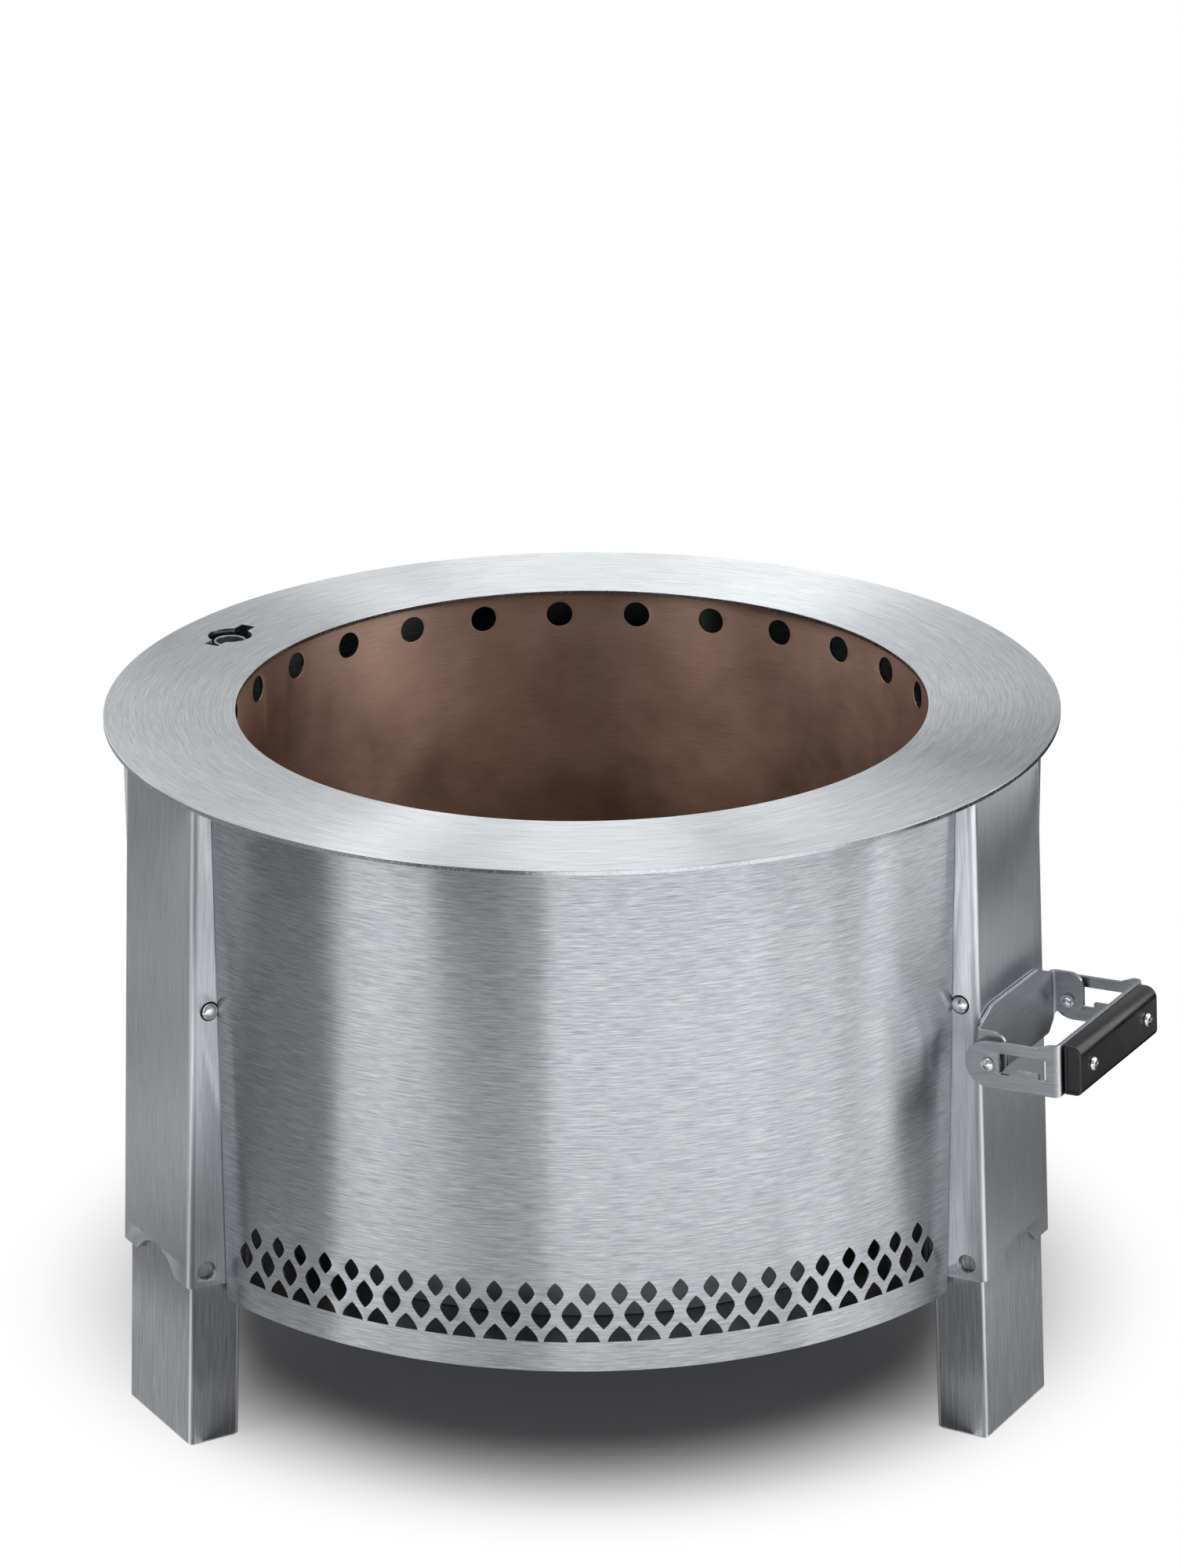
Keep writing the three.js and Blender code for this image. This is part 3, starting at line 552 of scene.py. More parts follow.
# Post receiver
# A length of round stainless tube under the keyhole, held to the shell by two flat lugs. The
# mill finish shows its bright cut end in the keyhole.
socket_reach = 246
receiver_radius, receiver_bore = 10, 8.5
foot_bevel, top_bevel, top_bevel_depth = 0.2, 0.3, 0.4
receiver_foot = (receiver_bore + foot_bevel, chamber_bottom)
receiver_profile = [
    receiver_foot, (receiver_radius - foot_bevel, chamber_bottom),
    (receiver_radius, chamber_bottom + foot_bevel), (receiver_radius, welded_top - top_bevel_depth),
    (receiver_radius - top_bevel, welded_top), (receiver_bore + top_bevel, welded_top),
    (receiver_bore, welded_top - top_bevel_depth), (receiver_bore, chamber_bottom + foot_bevel),
    receiver_foot]
receiver = stand("receiver_post_tube", turned(receiver_profile, segments=64), plain_sheet,
                 Matrix.Translation((-socket_reach, 0, 0)))
hand_over(receiver, "fire_pit", "stainless", "receiver_tube")
for number in (1, 2):
    finish_node(f"receiver_clip_{number}", plain_sheet)


# Outer shell
# Three panels of 1.5 mm stainless, brushed along the coil, laser cut with the vent lattice,
# rolled and welded between the leg sleeves. The cut edges of the vents shine.
shell_radius = 269
shell_sheet, shell_edge = 1.5, 0.2
sleeve_width, weld_gap = 87.3, 0.3
shell_half_angle = math.radians(60) - math.asin(
    (sleeve_width / 2 + weld_gap) / (shell_radius - shell_sheet))
shell_bottom = -3.5
shell_corner = 6
# The punch has three holes a pitch apart, and strikes once a step
punch_step = shell_radius * math.radians(11.13)
punch_pitch = shell_radius * math.radians(3.82)
vent_rows = (
    {"Count": 25, "Between": 0, "Middle": 44.25, "Height": 13.5, "Width": 9.3, "Foot": -1.0},
    {"Count": 26, "Between": 1, "Middle": 31.05, "Height": 17.1, "Width": 11.2, "Foot": -1.0},
    {"Count": 25, "Between": 0, "Middle": 14.6, "Height": 19.4, "Width": 13.6, "Foot": 0.0},
)


def brushed_steel(name, dark, light, roughness, drag, stroke, width, is_round=False):
    """Stainless drawn past an abrasive belt: fine parallel scratches, which leave a
    reflection sharp along the grain and smear it across. Along a fold a painted highlight, a pale
    line, stands beside painted shade, a dull line, and the steel is rougher at the pale line. Real
    scratches are finer than a pixel, so they are drawn half a millimetre wide. Stroke and width are
    a scratch's, in metres."""
    shine_spread, fold_roughness = 0.03, 0.5
    # Colours of the painted shade and the painted highlight along a fold
    painted_shade_line, painted_highlight_line = "#77797c", "#fbfcfd"
    # Some scratches are longer and wider than the rest
    longer, wider = 2.5, 1.7
    material = empty_material(name)
    tree = material.node_tree
    if is_round:
        place = add_node(tree, "ShaderNodeTexCoord").outputs["Object"]
        level = add_node(tree, "ShaderNodeVectorMath", {
            0: place, 1: (1.0, 1.0, 0.0)}, operation="MULTIPLY").outputs["Vector"]
        out = add_node(tree, "ShaderNodeVectorMath", {0: level}, operation="LENGTH")
        x, y, _ = add_node(tree, "ShaderNodeSeparateXYZ", {0: level}).outputs
        sheet = add_node(tree, "ShaderNodeCombineXYZ", {
            "X": x, "Y": out.outputs["Value"], "Z": y}).outputs[0]
    else:
        sheet = add_node(tree, "ShaderNodeUVMap", uv_map="Brushing").outputs["UV"]
    grains = []
    for reach, across in ((stroke, width), (longer * stroke, wider * width)):
        scale = (1 / reach, 1 / across, 1 / reach)
        stretched = add_node(tree, "ShaderNodeVectorMath", {
            0: sheet, 1: scale}, operation="MULTIPLY").outputs["Vector"]
        grains.append(add_node(tree, "ShaderNodeTexNoise", {
            "Vector": stretched, "Scale": 1.0, "Detail": 2.0, "Roughness": 0.6}).outputs["Fac"])
    both = add_node(tree, "ShaderNodeMath", {0: grains[0], 1: grains[1]}, operation="ADD")
    share = add_node(tree, "ShaderNodeMapRange", {
        "Value": both.outputs[0], "From Min": 0.75, "From Max": 1.25}).outputs["Result"]
    colour = add_node(tree, "ShaderNodeMix", {
        "Factor": share, "A": linear(dark), "B": linear(light)}, data_type="RGBA")
    # Painted shade where the fold's wave falls below 0, painted highlight where it rises above
    fold = add_node(tree, "ShaderNodeAttribute", attribute_name="fold").outputs["Fac"]
    painted_shade_share = add_node(tree, "ShaderNodeMapRange", {
        "Value": fold, "From Min": 0.0, "From Max": -1.0, "To Max": 0.7}).outputs["Result"]
    colour = add_node(tree, "ShaderNodeMix", {
        "Factor": painted_shade_share, "A": colour.outputs["Result"], "B": linear(painted_shade_line)}, data_type="RGBA")
    colour = add_node(tree, "ShaderNodeMix", {
        "Factor": fold, "A": colour.outputs["Result"], "B": linear(painted_highlight_line)}, data_type="RGBA")
    drawn = add_node(tree, "ShaderNodeMapRange", {
        "Value": grains[0], "From Min": 0.3, "From Max": 0.7,
        "To Min": roughness + shine_spread,
        "To Max": roughness - shine_spread}).outputs["Result"]
    blur = add_node(tree, "ShaderNodeMapRange", {
        "Value": fold, "To Min": drawn, "To Max": fold_roughness}).outputs["Result"]
    smear = add_node(tree, "ShaderNodeMapRange", {
        "Value": fold, "To Min": drag, "To Max": 0.0}).outputs["Result"]
    relief = add_node(tree, "ShaderNodeBump", {
        "Height": grains[0], "Strength": 0.3, "Distance": 0.00002}).outputs["Normal"]
    ahead = add_node(tree, "ShaderNodeTangent", direction_type="UV_MAP", uv_map="Brushing")
    shader = add_node(tree, "ShaderNodeBsdfPrincipled", {
        "Base Color": colour.outputs["Result"], "Metallic": 1.0, "Roughness": blur,
        "Anisotropic": smear, "Anisotropic Rotation": 0.25, "Tangent": ahead.outputs[0],
        "Normal": relief})
    add_node(tree, "ShaderNodeOutputMaterial", {"Surface": shader.outputs["BSDF"]})
    return material


shell_steel = brushed_steel("stainless 304, belt brushed along the sheet", "#a8acb0", "#dadcde",
                            0.34, 1.0, 0.010, 0.0005)


def rounded(points, radii, steps=8):
    """An outline with its corners rounded."""
    made = []
    count = len(points)
    for n, (corner, radius) in enumerate(zip(points, radii)):
        corner = Vector(corner)
        if not radius:
            made.append(tuple(corner))
            continue
        back = (Vector(points[n - 1]) - corner).normalized()
        ahead = (Vector(points[(n + 1) % count]) - corner).normalized()
        half = back.angle(ahead) / 2
        middle = corner + (back + ahead).normalized() * radius / math.sin(half)
        first = corner + back * radius / math.tan(half) - middle
        last = corner + ahead * radius / math.tan(half) - middle
        sweep = first.angle_signed(last)
        for step in range(steps + 1):
            turn = Matrix.Rotation(-sweep * step / steps, 2)
            made.append(tuple(middle + turn @ first))
    return made


shell_length = 2 * shell_half_angle * shell_radius
vents = []
for row in vent_rows:
    for outline in row_of_openings(shell_steel, **row, Step=punch_step, Pitch=punch_pitch,
                                   Leaf=1.0):
        vents.append(outline + [shell_length / 2, 0])
panel_outline = rounded(box_outline(0, shell_length, shell_bottom, welded_top),
                        [shell_corner, shell_corner, 0, 0])
for number, middle in enumerate((-60, 60, 180), start=1):
    begin = math.radians(middle) - shell_half_angle
    panel = form_sheet(
        f"shell_rolled_panel_{number}", shell_steel, [panel_outline, *vents],
        shell_sheet, shell_edge,
        folds((shell_radius * math.cos(begin), shell_radius * math.sin(begin),
               begin + math.pi / 2), [(shell_length, 2 * shell_half_angle)]), "round", here)
    hand_over(panel, "fire_pit", "stainless", f"shell_panel_{number}")


# Leg sleeves
# Channels folded from 3 mm stainless, leaning out by 2.58 degrees and welded to the panels
# and the rim. A notch in the web lets a thumb push the leg; a strip closes each one inside.
sleeve_reach = 276
rim_underside = 298.3
splay = math.radians(2.58)
sleeve_depth, sleeve_sheet, sleeve_bend, sleeve_edge = 35.9, 3, 4, 0.35
sleeve_foot = -291.0
button_inset, button_drop, storage_drop = 11.4, 121, 280.9
sleeve_hole = 5.6
notch_half, notch_rise = 24, 12.5


def leg_place(number):
    """The frame of a leg: X out of the sleeve's web, Z up along the leg."""
    return (Matrix.Rotation((number - 1) * 2 * math.pi / 3, 4, "Z")
            @ Matrix.Translation((sleeve_reach, 0, rim_underside))
            @ Matrix.Rotation(-splay, 4, "Y"))


def circle(x, y, radius, points=32):
    """A round opening, clockwise."""
    return [(x + radius * math.cos(angle), y - radius * math.sin(angle))
            for angle in np.arange(points) * 2 * math.pi / points]


def folded(half_web, flange, bend):
    """Runs of a channel: flange, bend, web, bend, flange."""
    corner = (bend * math.pi / 2, math.pi / 2)
    return [(flange, 0), corner, (2 * half_web, 0), corner, (flange, 0)]


def level_line(start, runs, height, distances):
    """Where a level cut runs along a flat pattern in a leg's frame."""
    line = []
    for distance in distances:
        x = on_path(start, runs, distance)[0]
        line.append((distance, (height - rim_underside - x * math.sin(splay)) / math.cos(splay)))
    return line


sleeve_steel = brushed_steel("stainless 304, belt brushed down the sleeve", "#b3b6ba", "#cccfd2",
                             0.34, 1.0, 0.018, 0.0006)
sleeve_runs = folded(sleeve_width / 2 - sleeve_bend, sleeve_depth - sleeve_bend, sleeve_bend)
sleeve_start = (-sleeve_depth, -sleeve_width / 2, 0.0)
sleeve_length = sum(length for length, _ in sleeve_runs)
sleeve_middle = sleeve_length / 2
notch_radius = (notch_half ** 2 + notch_rise ** 2) / (2 * notch_rise)
notch_sweep = math.asin(notch_half / notch_radius)
notch_middle = sleeve_foot + notch_rise - notch_radius
notch = [(sleeve_middle + notch_radius * math.sin(angle),
          notch_middle + notch_radius * math.cos(angle))
         for angle in np.linspace(-notch_sweep, notch_sweep, 24)]
sleeve_top = level_line(sleeve_start, sleeve_runs, welded_top,
                        np.linspace(sleeve_length, 0, 40))
sleeve_outline = [(0, sleeve_foot), *notch, (sleeve_length, sleeve_foot), *sleeve_top]
flange_start = sleeve_width / 2 - sleeve_bend + sleeve_bend * math.pi / 2
hole_offset = flange_start + button_inset - sleeve_bend
sleeve_holes = [circle(sleeve_middle + side * hole_offset, -drop, sleeve_hole)
                for side in (-1, 1) for drop in (button_drop, storage_drop)]
for number in (1, 2, 3):
    sleeve = form_sheet(
        f"leg_sleeve_channel_{number}", sleeve_steel, [sleeve_outline, *sleeve_holes],
        sleeve_sheet, sleeve_edge, folds(sleeve_start, sleeve_runs), "up", leg_place(number))
    hand_over(sleeve, "fire_pit", "stainless", f"leg_sleeve_{number}")
    finish_node(f"sleeve_back_{number}", plain_sheet)


# Legs
# Rectangular stainless tube, brushed down its length and darker than the sleeves, welded up
# at the back and cut level at the foot. Each slides in its sleeve.
leg_half_width, leg_outer, leg_depth, leg_corner = 40.2, 3.45, 32, 3
leg_sheet, leg_edge = 1.5, 0.25
leg_top, stand_height = -101, -92.93
leg_hole = 5.5

leg_steel = brushed_steel("stainless 304, tube brushed down its length", "#9b9da1", "#c4c6c9",
                          0.34, 1.0, 0.020, 0.0007)
quarter = (leg_corner * math.pi / 2, math.pi / 2)
leg_flat = leg_half_width - leg_corner
leg_side = (leg_depth - 2 * leg_corner, 0)
leg_runs = [(leg_flat, 0), quarter, leg_side, quarter, (2 * leg_flat, 0),
            quarter, leg_side, quarter, (leg_flat, 0)]
leg_start = (-leg_outer - leg_depth, 0.0, -math.pi / 2)
leg_length = sum(length for length, _ in leg_runs)
leg_foot = level_line(leg_start, leg_runs, stand_height, np.linspace(0, leg_length, 160))
leg_outline = [(-seam_trim, leg_foot[0][1]), *leg_foot[1:-1],
               (leg_length + seam_trim, leg_foot[-1][1]), (leg_length + seam_trim, leg_top),
               (-seam_trim, leg_top)]
hole_offset = leg_flat + quarter[0] + button_inset - leg_outer - leg_corner
leg_holes = [circle(leg_length / 2 + side * hole_offset, -button_drop, leg_hole)
             for side in (-1, 1)]
for number in (1, 2, 3):
    leg = form_sheet(
        f"leg_tube_{number}", leg_steel, [leg_outline, *leg_holes], leg_sheet, leg_edge,
        folds(leg_start, leg_runs), "up", leg_place(number), closed=True)
    hand_over(leg, f"leg_{number}_body", "leg_steel", f"leg_{number}")


# Snap buttons and leaf springs
# Domed stainless pins, turned and polished, riveted to strips of spring steel inside the
# tube. They lock the leg in the sleeve's upper or lower holes.
button_foot, button_radius, dome_start, dome_height = 38.7, 5, 43.85, 2.4


def polished_steel(name, colour, roughness):
    """Stainless turned and tumbled bright: sharp reflections, here and there dulled by a
    handling mark."""
    mark_size = 0.0022
    sharper, duller = 0.06, 0.08
    material = empty_material(name)
    tree = material.node_tree
    place = add_node(tree, "ShaderNodeTexCoord").outputs["Object"]
    marks = add_node(tree, "ShaderNodeTexNoise", {
        "Vector": place, "Scale": 1 / mark_size, "Detail": 3.0}).outputs["Fac"]
    blur = add_node(tree, "ShaderNodeMapRange", {
        "Value": marks, "From Min": 0.3, "From Max": 0.7,
        "To Min": roughness - sharper, "To Max": roughness + duller}).outputs["Result"]
    shade = add_node(tree, "ShaderNodeMapRange", {
        "Value": marks, "From Min": 0.3, "From Max": 0.7,
        "To Min": 0.92, "To Max": 1.0}).outputs["Result"]
    tone = add_node(tree, "ShaderNodeVectorMath", {
        0: linear(colour)[:3], "Scale": shade}, operation="SCALE").outputs["Vector"]
    relief = add_node(tree, "ShaderNodeBump", {
        "Height": marks, "Strength": 0.35, "Distance": 0.00006}).outputs["Normal"]
    shader = add_node(tree, "ShaderNodeBsdfPrincipled", {
        "Base Color": tone, "Metallic": 1.0, "Roughness": blur, "Normal": relief})
    add_node(tree, "ShaderNodeOutputMaterial", {"Surface": shader.outputs["BSDF"]})
    return material


def setting_tree():
    """Geometry Nodes that set a copy of a fastener on each point of a mesh, facing the way
    that the point's attribute gives."""
    tree = bpy.data.node_groups.new("Set fasteners", "GeometryNodeTree")
    for name, kind in (("Points", "Geometry"), ("Fastener", "Object"), ("Material", "Material")):
        tree.interface.new_socket(name, in_out="INPUT", socket_type="NodeSocket" + kind)
    tree.interface.new_socket("Geometry", in_out="OUTPUT", socket_type="NodeSocketGeometry")
    given = add_node(tree, "NodeGroupInput").outputs
    facing = add_node(tree, "GeometryNodeInputNamedAttribute", {"Name": "facing"},
                      data_type="FLOAT_VECTOR")
    turn = add_node(tree, "FunctionNodeAlignRotationToVector", {
        "Vector": facing.outputs["Attribute"]}, axis="Z")
    fastener = add_node(tree, "GeometryNodeObjectInfo", {"Object": given["Fastener"]})
    copies = add_node(tree, "GeometryNodeInstanceOnPoints", {
        "Points": given["Points"], "Instance": fastener.outputs["Geometry"],
        "Rotation": turn.outputs["Rotation"]})
    real = add_node(tree, "GeometryNodeRealizeInstances", {"Geometry": copies.outputs[0]})
    dressed = add_node(tree, "GeometryNodeSetMaterial", {
        "Geometry": real.outputs[0], "Material": given["Material"]})
    add_node(tree, "NodeGroupOutput", {"Geometry": dressed.outputs[0]})
    return tree


setting = setting_tree()


def set_fasteners(name, pattern, material, spots, place):
    """One mesh with a copy of the pattern at each spot, a point and the way that it faces."""
    points = bpy.data.meshes.new(name)
    points.from_pydata([spot for spot, _ in spots], [], [])
    facing = points.attributes.new("facing", "FLOAT_VECTOR", "POINT")
    facing.data.foreach_set("vector", [value for _, way in spots for value in way])
    holder = add_object(name + "_pattern", pattern)
    made = run_tree(name, points, setting, {"Fastener": holder, "Material": material})
    bpy.data.objects.remove(holder)
    return stand(name, made, material, place)


def dome(radius, start, height, steps=10):
    """The profile of a shallow dome, from its edge to its crown."""
    return [(radius * math.cos(angle), start + height * math.sin(angle))
            for angle in np.linspace(0, math.pi / 2, steps + 1)[:-1]] + [(0, start + height)]


bright_steel = polished_steel("stainless 304, turned and polished", "#d6d7d9", 0.22)
spring_steel = mill_steel("spring steel, rolled", "#8b8b87", "#a3a39f", 0.30)
pin_profile = [(0, button_foot), (button_radius, button_foot),
               *dome(button_radius, dome_start, dome_height)]
pin = turned(pin_profile, segments=48)
for number in (1, 2, 3):
    for side, word in ((1, "left"), (-1, "right")):
        button = set_fasteners(
            f"snap_pin_{number}_{word}", pin, bright_steel,
            [((-button_inset, 0, -button_drop), (0, side, 0))], leg_place(number))
        hand_over(button, f"catch_{number}_{word}", "bright_steel", f"snap_button_{number}_{word}")
        finish_node(f"leaf_spring_{number}_{word}", spring_steel)


# Handle bracket
# Laser cut from 2.5 mm stainless and folded, with an ear at each end for the pivots, then
# spot welded to the web of the first sleeve.
pivot_drop = 148.4
handle_sheet, handle_bend, handle_edge = 2.5, 4, 0.35
pivot_reach = 11.8
bracket_half, bracket_back, ear_reach = 52, 0.3, 21
# Half-widths on the flat pattern, and heights above the pivot
ear_rise, head_rise, ear_fall, foot_fall = 17.4, 24.6, 8, 19
shoulder_half, head_half, neck_half, foot_half = 47, 30, 53, 42
ear_round, shoulder_round, neck_round, foot_round = 8, 4, 2, 3
ear_hole = 2.8

handle_steel = brushed_steel("stainless 304, handle sheet", "#9c9ea2", "#b7b9bd",
                             0.36, 0.9, 0.015, 0.0006)
handle_place = leg_place(1) @ Matrix.Translation((0, 0, -pivot_drop))
ear_flat = ear_reach - bracket_back - handle_bend
bracket_runs = folded(bracket_half - handle_bend, ear_flat, handle_bend)
bracket_start = (ear_reach, bracket_half, math.pi)
bracket_length = sum(length for length, _ in bracket_runs)
bracket_middle = bracket_length / 2
right_half = [
    ((foot_half, -foot_fall), foot_round), ((neck_half, -ear_fall), neck_round),
    ((bracket_middle, -ear_fall), ear_round), ((bracket_middle, ear_rise), ear_round),
    ((shoulder_half, ear_rise), shoulder_round), ((head_half, head_rise), shoulder_round)]
left_half = [((-x, y), radius) for (x, y), radius in reversed(right_half)]
corners = [*right_half, *left_half]
bracket_outline = rounded([(x + bracket_middle, y) for (x, y), _ in corners],
                          [radius for _, radius in corners], steps=6)
bracket_holes = [
    circle(bracket_middle + side * (bracket_middle - ear_reach + pivot_reach), 0, ear_hole)
    for side in (-1, 1)]
bracket = form_sheet(
    "handle_bracket_plate", handle_steel, [bracket_outline, *bracket_holes], handle_sheet,
    handle_edge, folds(bracket_start, bracket_runs), "round", handle_place)
hand_over(bracket, "fire_pit", "stainless", "handle_bracket")


# Handle bail
# One strip of 2.5 mm stainless folded to a U, with round ends on the pivots and a stepped
# window in each arm. It carries the grip.
bail_half, bail_reach, arm_radius = 57.5, 56, 14
crown_rise, crown_depth, crown_ramp = 17, 6, 8
grip_screw_spread, grip_lift = 36.4, 1.5
window_start, window_end, window_top, window_foot = 7, 36, 7.5, -5
tab_start, tab_end, tab_foot = 13.5, 31.5, -1.5
window_round = 0.8
pivot_hole, grip_screw_hole = 3, 2.3

arm_flat = bail_reach - handle_bend - pivot_reach + arm_radius
bail_runs = folded(bail_half - handle_bend, arm_flat, handle_bend)
bail_start = (pivot_reach - arm_radius, -bail_half, 0.0)
bail_length = sum(length for length, _ in bail_runs)
bail_middle = bail_length / 2
arm_end = bail_middle - arm_radius


def on_arm(side, reach, height):
    """A point of the flat strip: reach is measured from the pivot along an arm."""
    return bail_middle + side * (arm_end - reach), height


crown_start = bail_reach - pivot_reach - crown_depth
right_end = [on_arm(-1, -arm_radius * math.sin(angle), -arm_radius * math.cos(angle))
             for angle in np.linspace(math.pi, 0, 24)]
left_end = [on_arm(1, -arm_radius * math.sin(angle), -arm_radius * math.cos(angle))
            for angle in np.linspace(0, math.pi, 24)]
bail_outline = [*right_end, *left_end, on_arm(1, crown_start - crown_ramp, arm_radius),
                on_arm(1, crown_start, crown_rise), on_arm(-1, crown_start, crown_rise),
                on_arm(-1, crown_start - crown_ramp, arm_radius)]
window = [(window_start, window_top), (window_end, window_top), (window_end, window_foot),
          (tab_end, window_foot), (tab_end, tab_foot), (tab_start, tab_foot),
          (tab_start, window_foot), (window_start, window_foot)]
bail_holes = []
for side in (-1, 1):
    # The outline of an opening runs clockwise on either arm
    corners = [on_arm(side, x, y) for x, y in window][::-side]
    bail_holes.append(rounded(corners, [window_round] * len(corners), steps=3))
    bail_holes.append(circle(*on_arm(side, 0, 0), pivot_hole))
    bail_holes.append(circle(bail_middle + side * grip_screw_spread, grip_lift, grip_screw_hole))
bail = form_sheet(
    "handle_bail_strip", handle_steel, [bail_outline, *bail_holes], handle_sheet,
    handle_edge, folds(bail_start, bail_runs), "round", handle_place)
hand_over(bail, "handle", "stainless", "handle_bail")


# Pivots
# On each side a cross-head screw passes through arm, nylon spacer and ear, with a domed nut
# inside the ear. Bought-in stainless fasteners, and black nylon spacers.
screw_seat, nut_seat, spacer_seat = 57.8, 49.2, 52.3


def moulded_nylon(name, colour, roughness):
    """Glass-filled nylon from a spark-eroded mould: near black, with a fine even grain that
    breaks the sheen."""
    grain_size, wear_size = 0.0005, 0.012
    sharper, duller = 0.04, 0.06
    material = empty_material(name)
    tree = material.node_tree
    place = add_node(tree, "ShaderNodeTexCoord").outputs["Object"]
    grain = add_node(tree, "ShaderNodeTexNoise", {
        "Vector": place, "Scale": 1 / grain_size, "Detail": 2.0}).outputs["Fac"]
    wear = add_node(tree, "ShaderNodeTexNoise", {
        "Vector": place, "Scale": 1 / wear_size, "Detail": 4.0}).outputs["Fac"]
    shade = add_node(tree, "ShaderNodeMapRange", {
        "Value": wear, "From Min": 0.3, "From Max": 0.7,
        "To Min": 0.85, "To Max": 1.25}).outputs["Result"]
    tone = add_node(tree, "ShaderNodeVectorMath", {
        0: linear(colour)[:3], "Scale": shade}, operation="SCALE").outputs["Vector"]
    blur = add_node(tree, "ShaderNodeMapRange", {
        "Value": wear, "From Min": 0.3, "From Max": 0.7,
        "To Min": roughness - sharper, "To Max": roughness + duller}).outputs["Result"]
    relief = add_node(tree, "ShaderNodeBump", {
        "Height": grain, "Strength": 0.3, "Distance": 0.00003}).outputs["Normal"]
    shader = add_node(tree, "ShaderNodeBsdfPrincipled", {
        "Base Color": tone, "Roughness": blur, "IOR": 1.53, "Normal": relief})
    add_node(tree, "ShaderNodeOutputMaterial", {"Surface": shader.outputs["BSDF"]})
    return material


def cross_head_screw(head, rise, shank, length):
    """A domed screw with its seat on z = 0 and a cross recess in its crown. Each slot of the
    recess is a wedge, shorter and slimmer at its bottom."""
    head_edge = 0.3
    slot_length, slot_width = 1.2 * head, 0.26 * head
    bottom_length_share, bottom_width_share = 0.4, 0.8
    profile = [(0, -length), (shank, -length), (shank, 0), (head, 0), (head, head_edge),
               *dome(head, head_edge, rise - head_edge)[1:]]
    screw = add_object("screw", turned(profile, segments=48))
    recess = bmesh.new()
    for turn in (0, math.pi / 2):
        slot = bmesh.ops.create_cube(recess, size=1)["verts"]
        bmesh.ops.scale(recess, vec=(slot_length, slot_width, rise), verts=slot)
        bmesh.ops.translate(recess, vec=(0, 0, rise), verts=slot)
        for vertex in slot:
            if vertex.co.z < rise:
                vertex.co.x *= bottom_length_share
                vertex.co.y *= bottom_width_share
        bmesh.ops.rotate(recess, cent=(0, 0, 0), matrix=Matrix.Rotation(turn, 3, "Z"), verts=slot)
    cutter = add_object("cross", mesh_of(recess, "cross"))
    cut = screw.modifiers.new("recess", "BOOLEAN")
    cut.operation = "DIFFERENCE"
    cut.solver = "EXACT"
    cut.object = cutter
    cut.use_self = True
    made = plain_mesh(screw)
    bpy.data.objects.remove(cutter)
    return made


black_nylon = moulded_nylon("black nylon, moulded", "#0f1011", 0.30)
pivot_screw = cross_head_screw(head=4.3, rise=3, shank=2.5, length=10)
# Radius and height above the seat
nut_profile = [(0, -0.3), (2.8, -0.3), (3.9, 0), (3.9, 1.6), (3.6, 1.9), *dome(3.1, 1.9, 2.6)]
spacer_profile = [(2.8, 0), (6.6, 0), (7, 0.4), (7, 2.0), (6.6, 2.4), (2.8, 2.4), (2.8, 0)]


def on_pivots(name, pattern, material, seat, way):
    """A pair on the pivots, facing out of the handle (way is 1) or into it (-1)."""
    spots = [((pivot_reach, side * seat, 0), (0, way * side, 0)) for side in (1, -1)]
    return set_fasteners(name, pattern, material, spots, handle_place)


screws = on_pivots("pivot_cross_head_screws", pivot_screw, bright_steel, screw_seat, 1)
hand_over(screws, "fire_pit", "bright_steel", "pivot_screw_left", "pivot_screw_right")
nuts = on_pivots("pivot_domed_nuts", turned(nut_profile, segments=48), bright_steel, nut_seat, -1)
hand_over(nuts, "fire_pit", "bright_steel", "pivot_nut_left", "pivot_nut_right")
spacers = on_pivots(
    "pivot_nylon_spacers", turned(spacer_profile, segments=48), black_nylon, spacer_seat, 1)
hand_over(spacers, "fire_pit", "black_nylon", "pivot_spacer_left", "pivot_spacer_right")


# Grip
# A D-section bar moulded in black nylon, with soft edges and a panel sunk into each end. Two
# domed cross-head screws hold it on the bail.
grip_back, grip_depth, grip_height, grip_length = 56.3, 11, 30, 103
back_round, lower_round, upper_round = 1.2, 4, 7

grip_outline = rounded(
    box_outline(0, grip_depth, -grip_height / 2, grip_height / 2),
    [back_round, lower_round, upper_round, back_round], steps=12)
# How far the section has drawn in, and how far short of the bar's end it stands
grip_end = [(0, 1.2), (0.1, 0.72), (0.35, 0.35), (0.72, 0.1), (1.2, 0), (1.7, 0), (1.9, 0.1),
            (2.1, 0.9)]
grip_half = grip_length / 2
grip_levels = [(drawn_in, short - grip_half) for drawn_in, short in reversed(grip_end)]
grip_levels += [(drawn_in, grip_half - short) for drawn_in, short in grip_end]
bar = bmesh.new()
rings = [[bar.verts.new((x, y, z)) for x, z in inset(np.array(grip_outline), drawn_in)]
         for drawn_in, y in grip_levels]
for near, far in zip(rings, rings[1:]):
    for n in range(len(near)):
        m = (n + 1) % len(near)
        bar.faces.new((near[n], near[m], far[m], far[n]))
bar.faces.new(list(reversed(rings[0])))
bar.faces.new(rings[-1])
bmesh.ops.recalc_face_normals(bar, faces=bar.faces)
grip = stand("handle_grip_bar", mesh_of(bar, "grip"), black_nylon,
             handle_place @ Matrix.Translation((grip_back, 0, grip_lift)))
hand_over(grip, "handle", "black_nylon", "handle_grip")
grip_seat = grip_back + grip_depth + weld_gap
grip_screw = cross_head_screw(head=4, rise=2.6, shank=2, length=13.5)
grip_screws = set_fasteners(
    "grip_cross_head_screws", grip_screw, bright_steel,
    [((grip_seat, side * grip_screw_spread, grip_lift), (1, 0, 0)) for side in (1, -1)],
    handle_place)
hand_over(grip_screws, "handle", "bright_steel", "grip_screw_left", "grip_screw_right")


